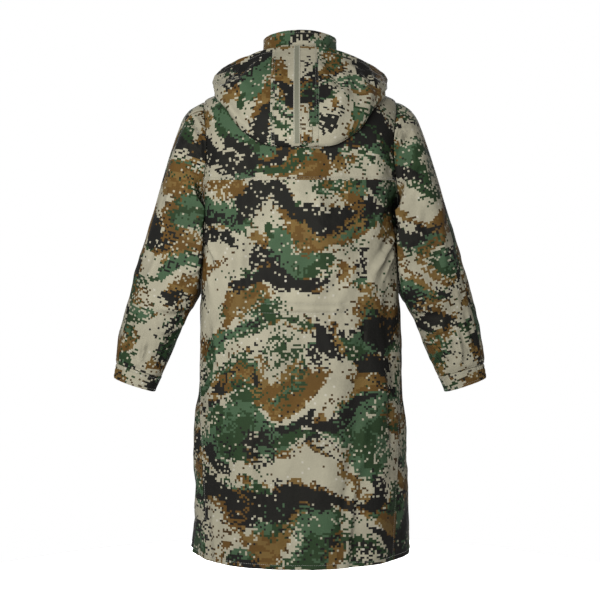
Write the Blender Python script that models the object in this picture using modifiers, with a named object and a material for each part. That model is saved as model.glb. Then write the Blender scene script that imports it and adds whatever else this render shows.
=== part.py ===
"""Long hooded windbreaker, closed at the front and filled out as if worn.

The coat is hollow. Every cut piece is a thin wall that follows one of four
smooth surfaces: the torso, the sleeve, the collar and the hood. Each surface is
worked out from a short table of sections, a row for each section, and the
panels are the stretches of a surface between two seams.

Frame: +X is the wearer's left, -Y is the front, +Z is up. The origin is the
middle of the neck opening at the height of the seam at the nape, where the
wearer's neck and shoulders carry the coat. Heights in the tables are given as
metres down from it.
"""

import math

import bmesh
import bpy
import numpy as np

# ------------------------------------------------------------------ sizes, metres

CLOTH = 0.0018  # one layer of coated cloth with its facing
DOUBLE_CLOTH = 0.0030  # collar and cuffs, cloth on both sides
TRIM = 0.0012  # tape, strap and zip tape
SEAM_GAP = 0.0003  # between pieces that are sewn together
LAID_GAP = 0.0003  # under a strip that lies on a panel


def table(columns, *rows):
    """A table of sections as one array for each named column."""
    return dict(zip(columns.split(), np.array(rows, float).T))


# Sections of the torso. The ring of each row is a superellipse: `down` is its height
# at the side, back_down and front_down are its height at centre back and front.
TORSO = table(
    "down half_width back_depth back_down front_depth front_down squareness",
    (0.009, 0.0845, 0.0740, 0.000, 0.080, 0.060, 2.00),  # neck seam
    (0.024, 0.1160, 0.0940, 0.018, 0.096, 0.078, 2.05),
    (0.040, 0.1500, 0.1090, 0.044, 0.110, 0.098, 2.10),
    (0.056, 0.1835, 0.1210, 0.072, 0.121, 0.118, 2.20),
    (0.070, 0.2130, 0.1290, 0.098, 0.130, 0.138, 2.30),  # shoulder point
    (0.100, 0.2225, 0.1360, 0.130, 0.136, 0.162, 2.40),
    (0.150, 0.2290, 0.1410, 0.174, 0.141, 0.195, 2.40),
    (0.200, 0.2300, 0.1440, 0.216, 0.144, 0.228, 2.40),
    (0.250, 0.2260, 0.1455, 0.259, 0.146, 0.264, 2.40),
    (0.300, 0.2190, 0.1460, 0.304, 0.147, 0.305, 2.40),  # underarm
    (0.400, 0.2186, 0.1445, 0.403, 0.146, 0.404, 2.40),
    (0.530, 0.2220, 0.1430, 0.533, 0.145, 0.533, 2.40),  # waist
    (0.740, 0.2295, 0.1530, 0.743, 0.154, 0.743, 2.35),
    (0.900, 0.2358, 0.1630, 0.904, 0.163, 0.903, 2.30),
    (1.071, 0.2420, 0.1700, 1.080, 0.171, 1.077, 2.30),  # hem
)
NECK, SHOULDER, UNDERARM, HEM = 0.009, 0.070, 0.300, 1.071

# Where the side seam runs, as an angle round the torso from centre back.
SIDE_SEAM = table(
    "down angle",
    (0.300, 90.0),
    (0.400, 85.0),
    (0.530, 78.0),
    (0.740, 69.0),
    (0.900, 60.0),
    (1.071, 53.6),
)

# The largest soft troughs (depth over 0) and ridges (under 0) that run down the
# torso: angle at the top and at the bottom, where they start and end, and size.
TORSO_FOLDS = table(
    "top_angle bottom_angle top bottom half_angle depth",
    (27.0, 22.0, 0.36, 0.60, 6.0, 0.007),
    (-33.0, -27.0, 0.52, 1.12, 6.0, 0.008),
    (-44.0, -38.0, 0.60, 1.12, 7.0, -0.006),
    (38.0, 46.0, 0.70, 1.12, 8.0, 0.005),
    (6.0, 3.0, 0.56, 0.90, 6.0, 0.004),
    (138.0, 150.0, 0.45, 1.12, 9.0, 0.008),
    (-142.0, -130.0, 0.40, 1.12, 9.0, 0.008),
)

ARMHOLE_BACK = 0.080  # how far the armhole reaches behind the shoulder seam
ARMHOLE_FRONT = 0.078

# Sections of the sleeve: the two ends of each ring, on its outer (elbow) line and
# its inner (underarm) line, its half depth, how far forward its middle is, and how
# closely its inner side follows the side of the torso, 0 to 1.
SLEEVE = table(
    "outer_x outer_down inner_x inner_down half_depth forward hug",
    (0.2133, 0.0700, 0.2196, 0.3000, 0.0800, 0.000, 0.0),  # armhole seam
    (0.2320, 0.0785, 0.2206, 0.3030, 0.0810, 0.000, 0.0),
    (0.2520, 0.0965, 0.2209, 0.3060, 0.0830, 0.000, 0.1),
    (0.2720, 0.1370, 0.2210, 0.3100, 0.0860, 0.000, 0.3),
    (0.2945, 0.2000, 0.2211, 0.3155, 0.0880, 0.001, 0.6),
    (0.3195, 0.2840, 0.2211, 0.3250, 0.0870, 0.002, 1.0),
    (0.3400, 0.3500, 0.2212, 0.3850, 0.0810, 0.003, 1.0),
    (0.3570, 0.4070, 0.2222, 0.4450, 0.0750, 0.005, 1.0),
    (0.3710, 0.4540, 0.2250, 0.4925, 0.0690, 0.007, 0.6),
    (0.3840, 0.5010, 0.2450, 0.5375, 0.0650, 0.010, 0.0),
    (0.3960, 0.5450, 0.2668, 0.5825, 0.0620, 0.013, 0.0),
    (0.4080, 0.5900, 0.2858, 0.6275, 0.0580, 0.015, 0.0),
    (0.4145, 0.6250, 0.3000, 0.6580, 0.0530, 0.017, 0.0),
    (0.4165, 0.6480, 0.3090, 0.6775, 0.0470, 0.018, 0.0),
    (0.4151, 0.6572, 0.3141, 0.6883, 0.0405, 0.018, 0.0),  # seam to the cuff
)
SLEEVE_SQUARENESS = 2.2
HUGGED_SQUARENESS = 2.8  # added to the inner half where the sleeve lies on the torso
HUGGED_PART = 0.8  # share of the inner half over which it comes to lie on the torso
ARMHOLE_REACH = 3.0  # sections over which the armhole's shape fades out
UNDERARM_GAP = 0.0010  # more room at the foot of the armhole, where the seam turns

CUFF = table(
    "outer_x outer_down inner_x inner_down half_depth forward",
    (0.4151, 0.6572, 0.3141, 0.6883, 0.0405, 0.018),
    (0.4212, 0.6905, 0.3292, 0.7220, 0.0385, 0.018),
)

# The stand collar's top edge; its foot is the neck seam.
COLLAR_TOP = {"half_width": 0.0810, "back_depth": 0.0710, "front_depth": 0.0800}
COLLAR_RISE = {"back": 0.075, "side": 0.069, "front": 0.008}

# The hood lies open on the shoulders. For each angle round the neck: the edge of
# its face opening, the row of the torso that its bottom fold lies on, and how far
# the outer layer bellies out between them.
HOOD = table(
    "angle face_x face_y face_z fold_down belly",
    (0.0, 0.000, 0.096, 0.034, 0.1750, 0.040),
    (15.0, 0.0605, 0.094, 0.031, 0.1735, 0.040),
    (30.0, 0.113, 0.080, 0.018, 0.1410, 0.034),
    (42.0, 0.146, 0.062, 0.006, 0.0900, 0.024),
    (60.0, 0.180, 0.032, -0.009, 0.0620, 0.012),
    (75.0, 0.193, 0.010, -0.0155, 0.0575, 0.006),
    (90.0, 0.196, -0.010, -0.019, 0.0555, 0.004),
    (110.0, 0.184, -0.050, -0.036, 0.0540, 0.004),
    (130.0, 0.147, -0.088, -0.050, 0.0460, 0.005),
    (150.0, 0.088, -0.112, -0.062, 0.0360, 0.005),
    (166.0, 0.040, -0.113, -0.066, 0.0300, 0.004),
)
HOOD_NECK_DOWN = 0.0115  # the torso row that the hood's neck edge lies on
HOOD_NECK_GAP = 0.0013
HOOD_CLEARANCE = 0.0045  # under the layer that lies on the shoulders
HOOD_UNDER_SHARE = 0.35  # share of the section's parameter given to the under layer
HOOD_UNDER_POWER = 1.6  # sets its rows closer near the neck, where the shoulder is flat
BELLY_LOW = 0.62  # under 1 moves the belly towards the bottom fold

# Seams and trim of the hood, as angles round the neck.
HOOD_STRIP_LEFT, HOOD_STRIP_RIGHT = 14.6, -9.6
TAPE_LEFT, TAPE_RIGHT = 3.35, -0.05
STRAP_RIGHT, PATCH_RIGHT = -4.6, -6.2
STRIP_MIDDLE = 8.9
# Heights on the hood's outer layer, from its bottom fold (0) to the face edge (1).
STRAP_LOW, PATCH_HIGH, STRAP_HIGH = 0.04, 0.18, 0.40

ZIP_HALF_GAP = 0.0060  # from the zip's middle to the edge of each front
TOOTH_HALF_GAP = 0.0015  # from the zip's middle to the edge of each zip tape
ZIP_TAPE_EDGE = 0.0175
ZIP_TAPE_GAP = 0.0005  # between a front and the zip tape behind it

# Slider at the top of the zip, and the pull tab that swings on it.
SLIDER_WIDTH, SLIDER_HEIGHT = 0.0090, 0.0120
SLIDER_PLATE = 0.0018
SLIDER_BACK_PLATE = 0.0014
SLIDER_POST_WIDTH, SLIDER_POST_HEIGHT = 0.0022, 0.0040
SLIDER_BELOW_TOP = 0.0180  # from the collar's top edge to the hinge of the pull
TEETH_SPACE = 0.0032  # from the zip tape to the slider's front plate
BRIDGE_WIDTH, BRIDGE_WALL = 0.0020, 0.0010
PULL_BAR = 0.0014  # diameter of the bar that the pull swings on
PULL_PLAY = 0.0003
PULL_STANDOFF = 0.0013  # from the slider's face to the middle of the bar
PULL_LENGTH, PULL_WIDTH = 0.0320, 0.0070
PULL_WINDOW_HALF, PULL_WINDOW_END = 0.0020, 0.0050
ZIP_BOX = (0.0090, 0.0030, 0.0120)  # width, thickness, height

MIRROR = np.array([-1.0, 1.0, 1.0])
SHARP_EDGE = math.radians(40)

# ------------------------------------------------------------------ mesh density

SHOULDER_ROWS, ARMHOLE_ROWS, BODY_ROWS = 4, 10, 11
YOKE_ROW = 7  # the armhole row that the yoke seam meets
BACK_COLUMNS, FRONT_COLUMNS = 18, 7
SLEEVE_STEP = 180.0 / ARMHOLE_ROWS  # the sleeve's columns meet the armhole's rows
SLEEVE_SEAM_STEPS = 2  # the outer seam lies this many columns behind the outer line
ELASTIC_STEPS = 3
HOOD_UNDER_ROWS = 6
HOOD_OUTER_ROWS = (0.0, STRAP_LOW, PATCH_HIGH, 0.29, STRAP_HIGH, 0.60, 0.80, 1.0)
# Angles of the side panels' columns, closest together where the shoulder turns.
HOOD_SIDE_COLUMNS = (166.0, 150.0, 135.0, 120.0, 105.0, 90.0, 75.0, 62.0, 52.0, 44.0, 36.0, 27.0)
COLLAR_ROWS = 2

# ------------------------------------------------------------------ helpers


def smooth(section, column, at, key="down"):
    """Monotone cubic through a table's column, which never overshoots its rows."""
    x, y = section[key], section[column]
    at = np.clip(at, x[0], x[-1])
    step = np.diff(x)
    slope = np.diff(y) / step
    tangent = np.zeros_like(y)
    tangent[0], tangent[-1] = slope[0], slope[-1]
    same_way = slope[:-1] * slope[1:] > 0
    total = np.where(same_way, slope[:-1] + slope[1:], 1.0)
    tangent[1:-1] = np.where(same_way, 2 * slope[:-1] * slope[1:] / total, 0.0)
    i = np.clip(np.searchsorted(x, at, side="right") - 1, 0, len(x) - 2)
    t = (at - x[i]) / step[i]
    rise = (3 - 2 * t) * t * t
    low = (t - 1) ** 2 * t * step[i] * tangent[i]
    high = (t - 1) * t * t * step[i] * tangent[i + 1]
    return y[i] * (1 - rise) + y[i + 1] * rise + low + high


def ramp(value, start, end):
    """0 up to start, 1 from end, and a smooth step between them."""
    t = np.clip((value - start) / (end - start), 0.0, 1.0)
    return t * t * (3 - 2 * t)


def ring(angle, squareness):
    """Unit superellipse: its sine-like and cosine-like parts at an angle."""
    s, c = np.sin(angle), np.cos(angle)
    reach = (np.abs(s) ** squareness + np.abs(c) ** squareness) ** (-1 / squareness)
    return s * reach, c * reach


def unit(vectors):
    return vectors / np.linalg.norm(vectors, axis=-1, keepdims=True)


def normals(surface, a, b, outward):
    """Unit normals of surface(a, b) from its slopes; outward is 1 or -1."""
    h = 1e-4
    along_a = surface(a + h, b) - surface(a - h, b)
    along_b = surface(a, b + h) - surface(a, b - h)
    return outward * unit(np.cross(along_a, along_b))


# ------------------------------------------------------------------ surfaces


def torso(angle, down):
    """Point on the torso's outer face. angle is in degrees from centre back."""
    angle, down = np.broadcast_arrays(np.asarray(angle, float), down)
    turn = np.radians(angle)
    across, along = ring(turn, smooth(TORSO, "squareness", down))
    behind = np.cos(turn) >= 0
    depth = np.where(
        behind, smooth(TORSO, "back_depth", down), smooth(TORSO, "front_depth", down)
    )
    middle = np.where(
        behind, smooth(TORSO, "back_down", down), smooth(TORSO, "front_down", down)
    )
    x = smooth(TORSO, "half_width", down) * across
    y = depth * along
    z = -(down + (middle - down) * np.cos(turn) ** 2)
    inward = 1 - torso_fold(angle, down) / np.hypot(x, y)
    return np.stack([x * inward, y * inward, z], axis=-1)


def torso_fold(angle, down):
    """How far the folds push the cloth in: a bell across, faded at both ends."""
    total = np.zeros(angle.shape)
    for top_angle, bottom_angle, top, bottom, half, depth in zip(*TORSO_FOLDS.values()):
        along = np.clip((down - top) / (bottom - top), 0, 1)
        middle = top_angle + (bottom_angle - top_angle) * along
        bell = np.exp(-(((angle - middle) / half) ** 2))
        fade = ramp(along, 0.0, 0.3) * (1 - 0.6 * ramp(along, 0.8, 1.0))
        total += depth * bell * fade
    return total


def edge_angle(down, half_depth, depth_column):
    """Angle round the torso at which its panels stop: the armhole or the side seam."""
    down = np.asarray(down, float)
    middle, half = (UNDERARM + SHOULDER) / 2, (UNDERARM - SHOULDER) / 2
    reach = half_depth * np.sqrt(np.clip(1 - ((down - middle) / half) ** 2, 1e-12, 1))
    power = smooth(TORSO, "squareness", down)
    ratio = smooth(TORSO, depth_column, down) / reach
    at_armhole = np.degrees(np.arctan((ratio**power - 1) ** (1 / power)))
    at_armhole = np.where((down > SHOULDER) & (down < UNDERARM), at_armhole, 90.0)
    if depth_column == "front_depth":
        at_armhole = 180 - at_armhole
    return np.where(down > UNDERARM, smooth(SIDE_SEAM, "angle", down), at_armhole)


def back_edge(down):
    return edge_angle(down, ARMHOLE_BACK, "back_depth")


def front_edge(down):
    return edge_angle(down, ARMHOLE_FRONT, "front_depth")


def armhole(turn):
    """Point on the armhole seam. turn is in degrees from the shoulder point, over the
    back to the underarm at 180, and over the front to the shoulder again."""
    turn = np.asarray(turn, float)
    middle, half = (UNDERARM + SHOULDER) / 2, (UNDERARM - SHOULDER) / 2
    down = middle - half * np.cos(np.radians(turn))
    angle = np.where(np.sin(np.radians(turn)) >= 0, back_edge(down), front_edge(down))
    return torso(angle, down)


def sleeve_sizes(place):
    """Every column of the sleeve's table at a place between its sections."""
    rows = {"row": np.arange(len(SLEEVE["hug"])), **SLEEVE}
    return {column: smooth(rows, column, place, "row") for column in SLEEVE}


def oval(size, turn, power):
    """Where a slanted ring of these sizes is at a turn: across, behind, down, and how
    far towards its outer end, -1 to 1."""
    back, out = ring(np.radians(turn), power)
    x = (size["outer_x"] + size["inner_x"]) / 2
    x = x + (size["outer_x"] - size["inner_x"]) / 2 * out
    down = (size["outer_down"] + size["inner_down"]) / 2
    down = down + (size["outer_down"] - size["inner_down"]) / 2 * out
    return x, size["half_depth"] * back, down, out


def sleeve(turn, place):
    """Point on the left sleeve's outer face. turn is in degrees round the ring, from
    the outer line over the back; place counts the sections from the armhole."""
    turn, place = np.broadcast_arrays(np.asarray(turn, float), place)
    size = sleeve_sizes(place)
    inner = np.cos(np.radians(turn)) < 0
    power = SLEEVE_SQUARENESS + np.where(inner, HUGGED_SQUARENESS * size["hug"], 0.0)
    x, y, down, out = oval(size, turn, power)
    closeness = np.where(inner, size["hug"] * ramp(-out, 0.0, HUGGED_PART), 0.0)
    x = x - closeness * torso_narrowing(y, down)
    points = np.stack([x, y - size["forward"], -down], axis=-1)
    start = np.clip(1 - place / ARMHOLE_REACH, 0, 1)[..., None] ** 2
    if not start.any():
        return points
    x, y, down, out = oval(sleeve_sizes(0.0), turn, SLEEVE_SQUARENESS)
    apart = 2 * SEAM_GAP + UNDERARM_GAP * (1 - np.cos(np.radians(turn))) / 2
    seam = armhole(turn) + apart[..., None] * np.array([1.0, 0.0, 0.0])
    return points + start * (seam - np.stack([x, y, -down], axis=-1))


def torso_narrowing(y, down):
    """How much narrower the torso is at a depth y than at its widest."""
    power = smooth(TORSO, "squareness", down)
    share = np.clip(np.abs(y) / smooth(TORSO, "back_depth", down), 0, 0.98)
    return smooth(TORSO, "half_width", down) * (1 - (1 - share**power) ** (1 / power))


def cuff(turn, place):
    """Point on the left cuff's outer face, from its seam (0) to its edge (1)."""
    turn, place = np.broadcast_arrays(np.asarray(turn, float), place)
    size = {c: v[0] + (v[1] - v[0]) * place for c, v in CUFF.items()}
    x, y, down, _ = oval(size, turn, SLEEVE_SQUARENESS)
    return np.stack([x, y - size["forward"], -down], axis=-1)


def collar(angle, height):
    """Point on the collar's outer face, from the neck seam (0) to its top (1)."""
    angle, height = np.broadcast_arrays(np.asarray(angle, float), height)
    turn = np.radians(angle)
    foot = torso(angle, NECK)
    behind = np.cos(turn) >= 0
    across, along = ring(turn, 2.0)
    depth = np.where(behind, COLLAR_TOP["back_depth"], COLLAR_TOP["front_depth"])
    end = np.where(behind, COLLAR_RISE["back"], COLLAR_RISE["front"])
    rise = COLLAR_RISE["side"] + (end - COLLAR_RISE["side"]) * np.cos(turn) ** 2
    top = np.stack([COLLAR_TOP["half_width"] * across, depth * along, rise], axis=-1)
    return foot + (top - foot) * height[..., None]


def hood(angle, place):
    """Point on the hood's outer side, from its neck edge (0) down over the shoulders
    to the bottom fold, and up the outer layer to the face edge (1)."""
    angle, place = np.broadcast_arrays(np.asarray(angle, float), place)
    size = {c: smooth(HOOD, c, np.abs(angle), "angle") for c in HOOD}
    side = np.where(angle < 0, -1.0, 1.0)
    under = np.clip(place / HOOD_UNDER_SHARE, 0, 1)
    outer = np.clip((place - HOOD_UNDER_SHARE) / (1 - HOOD_UNDER_SHARE), 0, 1)
    down = HOOD_NECK_DOWN + (size["fold_down"] - HOOD_NECK_DOWN) * under**HOOD_UNDER_POWER
    lift = HOOD_NECK_GAP + (HOOD_CLEARANCE - HOOD_NECK_GAP) * ramp(under, 0.0, 0.12)
    away = normals(torso, angle, down, 1)
    low = torso(angle, down) + away * lift[..., None]
    face = np.stack([side * size["face_x"], size["face_y"], size["face_z"]], axis=-1)
    outward = away * np.array([1.0, 1.0, 0.0])
    belly = size["belly"] * np.sin(np.pi * outer**BELLY_LOW)
    high = low + (face - low) * outer[..., None] + unit(outward) * belly[..., None]
    return np.where((outer > 0)[..., None], high, low)


# ------------------------------------------------------------------ solids

coat = bpy.data.collections.new("hooded_windbreaker")
cutters = bpy.data.collections.new("cutters")


def material(name, colour, roughness, metallic=0.0):
    made = bpy.data.materials.new(name)
    made.use_nodes = True
    shader = made.node_tree.nodes["Principled BSDF"]
    shader.inputs["Base Color"].default_value = (*colour, 1.0)
    shader.inputs["Roughness"].default_value = roughness
    shader.inputs["Metallic"].default_value = metallic
    return made


def add_object(name, mesh, finish):
    made = bpy.data.objects.new(name, mesh)
    mesh.materials.append(finish)
    coat.objects.link(made)
    return made


def inset(faces, edges, gap):
    """Draws the named edges of a pair of grids back by a gap, towards the next row."""
    lines = {
        "first_row": ((0, slice(None)), (1, slice(None))),
        "last_row": ((-1, slice(None)), (-2, slice(None))),
        "first_column": ((slice(None), 0), (slice(None), 1)),
        "last_column": ((slice(None), -1), (slice(None), -2)),
    }
    outer = faces[0].copy()
    for edge in edges:
        here, beside = lines[edge]
        shift = unit(outer[beside] - outer[here]) * gap
        for grid in faces:
            grid[here] += shift


def solid_between(name, outer, inner, finish):
    """A closed wall between two grids of points that match row for row."""
    rows, columns = outer.shape[:2]
    index = np.arange(rows * columns).reshape(rows, columns)
    corner = [index[:-1, :-1], index[:-1, 1:], index[1:, 1:], index[1:, :-1]]
    quads = np.stack(corner, axis=-1).reshape(-1, 4)
    triangles = np.concatenate([quads[:, [0, 1, 2]], quads[:, [0, 2, 3]]])
    rim = np.concatenate([index[0], index[1:, -1], index[-1, -2::-1], index[-2::-1, 0]])
    here, ahead, inside = rim[:-1], rim[1:], rows * columns
    near = np.stack([ahead, here, here + inside], axis=-1)
    far = np.stack([ahead, here + inside, ahead + inside], axis=-1)
    faces = np.concatenate([triangles, triangles[:, ::-1] + inside, near, far])
    points = np.concatenate([outer.reshape(-1, 3), inner.reshape(-1, 3)])
    if np.linalg.det(points[faces]).sum() < 0:
        faces = faces[:, ::-1]
    mesh = bpy.data.meshes.new(name)
    mesh.from_pydata(points.tolist(), [], faces.tolist())
    mesh.shade_smooth()
    mesh.set_sharp_from_angle(angle=SHARP_EDGE)
    return add_object(name, mesh, finish)


def wall(name, surface, a, b, outward, thickness, finish, lift=0.0, seams=(), mirrored=False):
    """A closed wall on surface(a, b): a is a list of columns or a grid, b a list of
    rows. Its outer face is the surface moved out by lift, and each edge in seams is
    drawn back by half a seam gap. mirrored turns it into the other side's piece."""
    b = np.asarray(b, float)[:, None]
    a, b = np.broadcast_arrays(np.asarray(a, float), b)
    out = normals(surface, a, b, outward)
    outer = surface(a, b) + out * lift
    inner = outer - out * thickness
    inset((outer, inner), seams, SEAM_GAP / 2)
    if mirrored:
        outer, inner = outer * MIRROR, inner * MIRROR
    return solid_between(name, outer, inner, finish)


def shoulder_rows():
    return np.linspace(NECK, SHOULDER, SHOULDER_ROWS + 1)


def armhole_rows():
    middle, half = (UNDERARM + SHOULDER) / 2, (UNDERARM - SHOULDER) / 2
    turns = np.linspace(0, math.pi, ARMHOLE_ROWS + 1)
    return middle - half * np.cos(turns)


def body_rows():
    return np.linspace(UNDERARM, HEM, BODY_ROWS + 1)


def front_rows():
    return np.concatenate([shoulder_rows(), armhole_rows()[1:], body_rows()[1:]])


def zip_angle(across, down):
    """Angle round the torso of the line at a distance across from centre front."""
    width = smooth(TORSO, "half_width", np.asarray(down, float))
    return 180 - np.degrees(across / width)


def front_columns(down):
    """Angles of the front's columns in each row, from centre front to its side."""
    down = np.asarray(down, float)[:, None]
    facing, side = zip_angle(ZIP_TAPE_EDGE, down), front_edge(down)
    spread = np.linspace(0, 1, FRONT_COLUMNS + 1)
    return np.concatenate(
        [zip_angle(ZIP_HALF_GAP, down), facing + (side - facing) * spread], axis=1
    )


def make_torso(cloth):
    """Yoke and back panel, then the two fronts, all on the torso's surface."""
    spread = np.linspace(-1, 1, BACK_COLUMNS + 1)
    rows = np.concatenate([shoulder_rows(), armhole_rows()[1 : YOKE_ROW + 1]])
    columns = back_edge(rows)[:, None] * spread
    yoke_seams = ("last_row",)
    wall("back_yoke", torso, columns, rows, 1, CLOTH, cloth, seams=yoke_seams)
    rows = np.concatenate([armhole_rows()[YOKE_ROW:], body_rows()[1:]])
    columns = back_edge(rows)[:, None] * spread
    sides = ("first_row", "first_column", "last_column")
    wall("back_panel", torso, columns, rows, 1, CLOTH, cloth, seams=sides)
    rows = front_rows()
    columns = front_columns(rows)
    wall("front_left", torso, columns, rows, 1, CLOTH, cloth, seams=("last_column",))
    wall("front_right", torso, -columns, rows, 1, CLOTH, cloth, seams=("last_column",))


def make_sleeve(side, mirrored, cloth, elastic):
    """One sleeve's back and front panels, its cuff band and the cuff's elastic."""
    places = np.arange(len(SLEEVE["hug"]))
    seam = SLEEVE_SEAM_STEPS * SLEEVE_STEP
    behind = np.arange(seam, 180 + SLEEVE_STEP / 2, SLEEVE_STEP)
    before = np.arange(180, 360 + seam + SLEEVE_STEP / 2, SLEEVE_STEP)
    seams = ("first_column", "last_column", "last_row")
    for half, turns in (("back", behind), ("front", before)):
        wall(
            f"sleeve_{half}_{side}", sleeve, turns, places, -1, CLOTH, cloth,
            seams=seams, mirrored=mirrored,
        )
    reach = ELASTIC_STEPS * SLEEVE_STEP
    band = np.arange(reach, 360 - reach + SLEEVE_STEP / 2, SLEEVE_STEP)
    ribbed = np.arange(-reach, reach + SLEEVE_STEP / 2, SLEEVE_STEP)
    seams = ("first_column", "last_column", "first_row")
    wall(
        f"cuff_band_{side}", cuff, band, (0, 1), -1, DOUBLE_CLOTH, cloth,
        seams=seams, mirrored=mirrored,
    )
    wall(
        f"cuff_elastic_{side}", cuff, ribbed, (0, 1), -1, DOUBLE_CLOTH, elastic,
        seams=seams, mirrored=mirrored,
    )


def make_collar(cloth):
    """The stand collar, on the neck seam, open at the zip."""
    half = front_columns([NECK])[0]
    behind = np.linspace(-90, 90, BACK_COLUMNS + 1)
    angles = np.concatenate([-half, behind[1:-1], half[::-1]])
    heights = np.linspace(0, 1, COLLAR_ROWS + 1)
    made = wall("collar", collar, angles, heights, -1, DOUBLE_CLOTH, cloth, seams=("first_row",))
    made.location.z = SEAM_GAP


def hood_places(outer):
    """The hood's parameter at these heights on its outer layer."""
    return HOOD_UNDER_SHARE + (1 - HOOD_UNDER_SHARE) * np.asarray(outer, float)


def make_hood(cloth, tape):
    """Side panels, centre strip, and the tape, strap and patch sewn on the strip."""
    under = np.linspace(0, HOOD_UNDER_SHARE, HOOD_UNDER_ROWS, endpoint=False)
    places = np.concatenate([under, hood_places(HOOD_OUTER_ROWS)])
    left = (*HOOD_SIDE_COLUMNS, HOOD_STRIP_LEFT)
    right = (HOOD_STRIP_RIGHT, *(-angle for angle in HOOD_SIDE_COLUMNS[::-1]))
    strip = (
        HOOD_STRIP_LEFT, STRIP_MIDDLE, TAPE_LEFT, TAPE_RIGHT,
        STRAP_RIGHT, PATCH_RIGHT, HOOD_STRIP_RIGHT,
    )
    both = ("first_column", "last_column")
    wall("hood_left", hood, left, places, -1, CLOTH, cloth, seams=("last_column",))
    wall("hood_centre", hood, strip, places, -1, CLOTH, cloth, seams=both)
    wall("hood_right", hood, right, places, -1, CLOTH, cloth, seams=("first_column",))
    first = LAID_GAP + TRIM
    rows = hood_places([h for h in HOOD_OUTER_ROWS if h >= STRAP_LOW])
    columns = (TAPE_LEFT, TAPE_RIGHT)
    wall("hood_tape", hood, columns, rows, -1, TRIM, tape, lift=first, seams=both)
    rows = hood_places([h for h in HOOD_OUTER_ROWS if STRAP_LOW <= h <= STRAP_HIGH])
    columns = (TAPE_RIGHT, STRAP_RIGHT)
    wall("hood_strap", hood, columns, rows, -1, TRIM, cloth, lift=first, seams=both)
    rows = hood_places([STRAP_LOW, PATCH_HIGH])
    columns = (TAPE_RIGHT, STRAP_RIGHT, PATCH_RIGHT)
    wall("hood_patch", hood, columns, rows, -1, TRIM, cloth, lift=2 * first, seams=both)


def box(name, low, high):
    """A box between two corners, as a mesh in the cutters' collection."""
    shape = bmesh.new()
    bmesh.ops.create_cube(shape, size=1.0)
    middle = [(lo + hi) / 2 for lo, hi in zip(low, high)]
    bmesh.ops.scale(shape, vec=[hi - lo for lo, hi in zip(low, high)], verts=shape.verts)
    bmesh.ops.translate(shape, vec=middle, verts=shape.verts)
    mesh = bpy.data.meshes.new(name)
    shape.to_mesh(mesh)
    shape.free()
    helper = bpy.data.objects.new(name, mesh)
    helper.hide_render = True
    helper.display_type = "WIRE"
    cutters.objects.link(helper)
    return helper


def bar(name, radius, low_x, high_x, y, z):
    """A round bar along X, as a mesh in the cutters' collection."""
    shape = bmesh.new()
    bmesh.ops.create_cone(
        shape, cap_ends=True, segments=16, radius1=radius, radius2=radius, depth=high_x - low_x
    )
    quarter = [[0, 0, 1], [0, 1, 0], [-1, 0, 0]]
    for vertex in shape.verts:
        vertex.co = [sum(r * c for r, c in zip(row, vertex.co)) for row in quarter]
    bmesh.ops.translate(shape, vec=((low_x + high_x) / 2, y, z), verts=shape.verts)
    mesh = bpy.data.meshes.new(name)
    shape.to_mesh(mesh)
    shape.free()
    helper = bpy.data.objects.new(name, mesh)
    helper.hide_render = True
    helper.display_type = "WIRE"
    cutters.objects.link(helper)
    return helper


def combine(base, helper, operation):
    step = base.modifiers.new(helper.name, "BOOLEAN")
    step.operation = operation
    step.object = helper


def zip_line():
    """Where the slider's parts are: collar front, zip tape, and the pull's hinge."""
    front = -COLLAR_TOP["front_depth"]
    tape = front + DOUBLE_CLOTH + ZIP_TAPE_GAP
    face = tape - TEETH_SPACE - SLIDER_PLATE
    hinge = (face - PULL_STANDOFF, COLLAR_RISE["front"] - SLIDER_BELOW_TOP)
    return tape, face, hinge


def make_zip(tape, metal):
    """Two zip tapes behind the fronts' edges and behind the collar's ends, and the
    hard pieces on them."""
    rows = front_rows()[::-1, None]
    heights = np.linspace(0, 1, COLLAR_ROWS + 1)[:, None]
    lines = np.array((TOOTH_HALF_GAP, ZIP_HALF_GAP, ZIP_TAPE_EDGE))
    below, above = zip_angle(lines, rows), zip_angle(lines, NECK)
    out_below = normals(torso, below, rows, 1)
    out_above = normals(collar, above, heights, -1)
    lower = torso(below, rows) - out_below * (CLOTH + ZIP_TAPE_GAP)
    upper = collar(above, heights) - out_above * (DOUBLE_CLOTH + ZIP_TAPE_GAP)
    outer = np.concatenate([lower, upper])
    inner = outer - np.concatenate([out_below, out_above]) * TRIM
    solid_between("zip_tape_left", outer, inner, tape)
    solid_between("zip_tape_right", outer * MIRROR, inner * MIRROR, tape)
    make_slider(metal)
    make_pull(metal)
    make_zip_box(metal)


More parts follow.
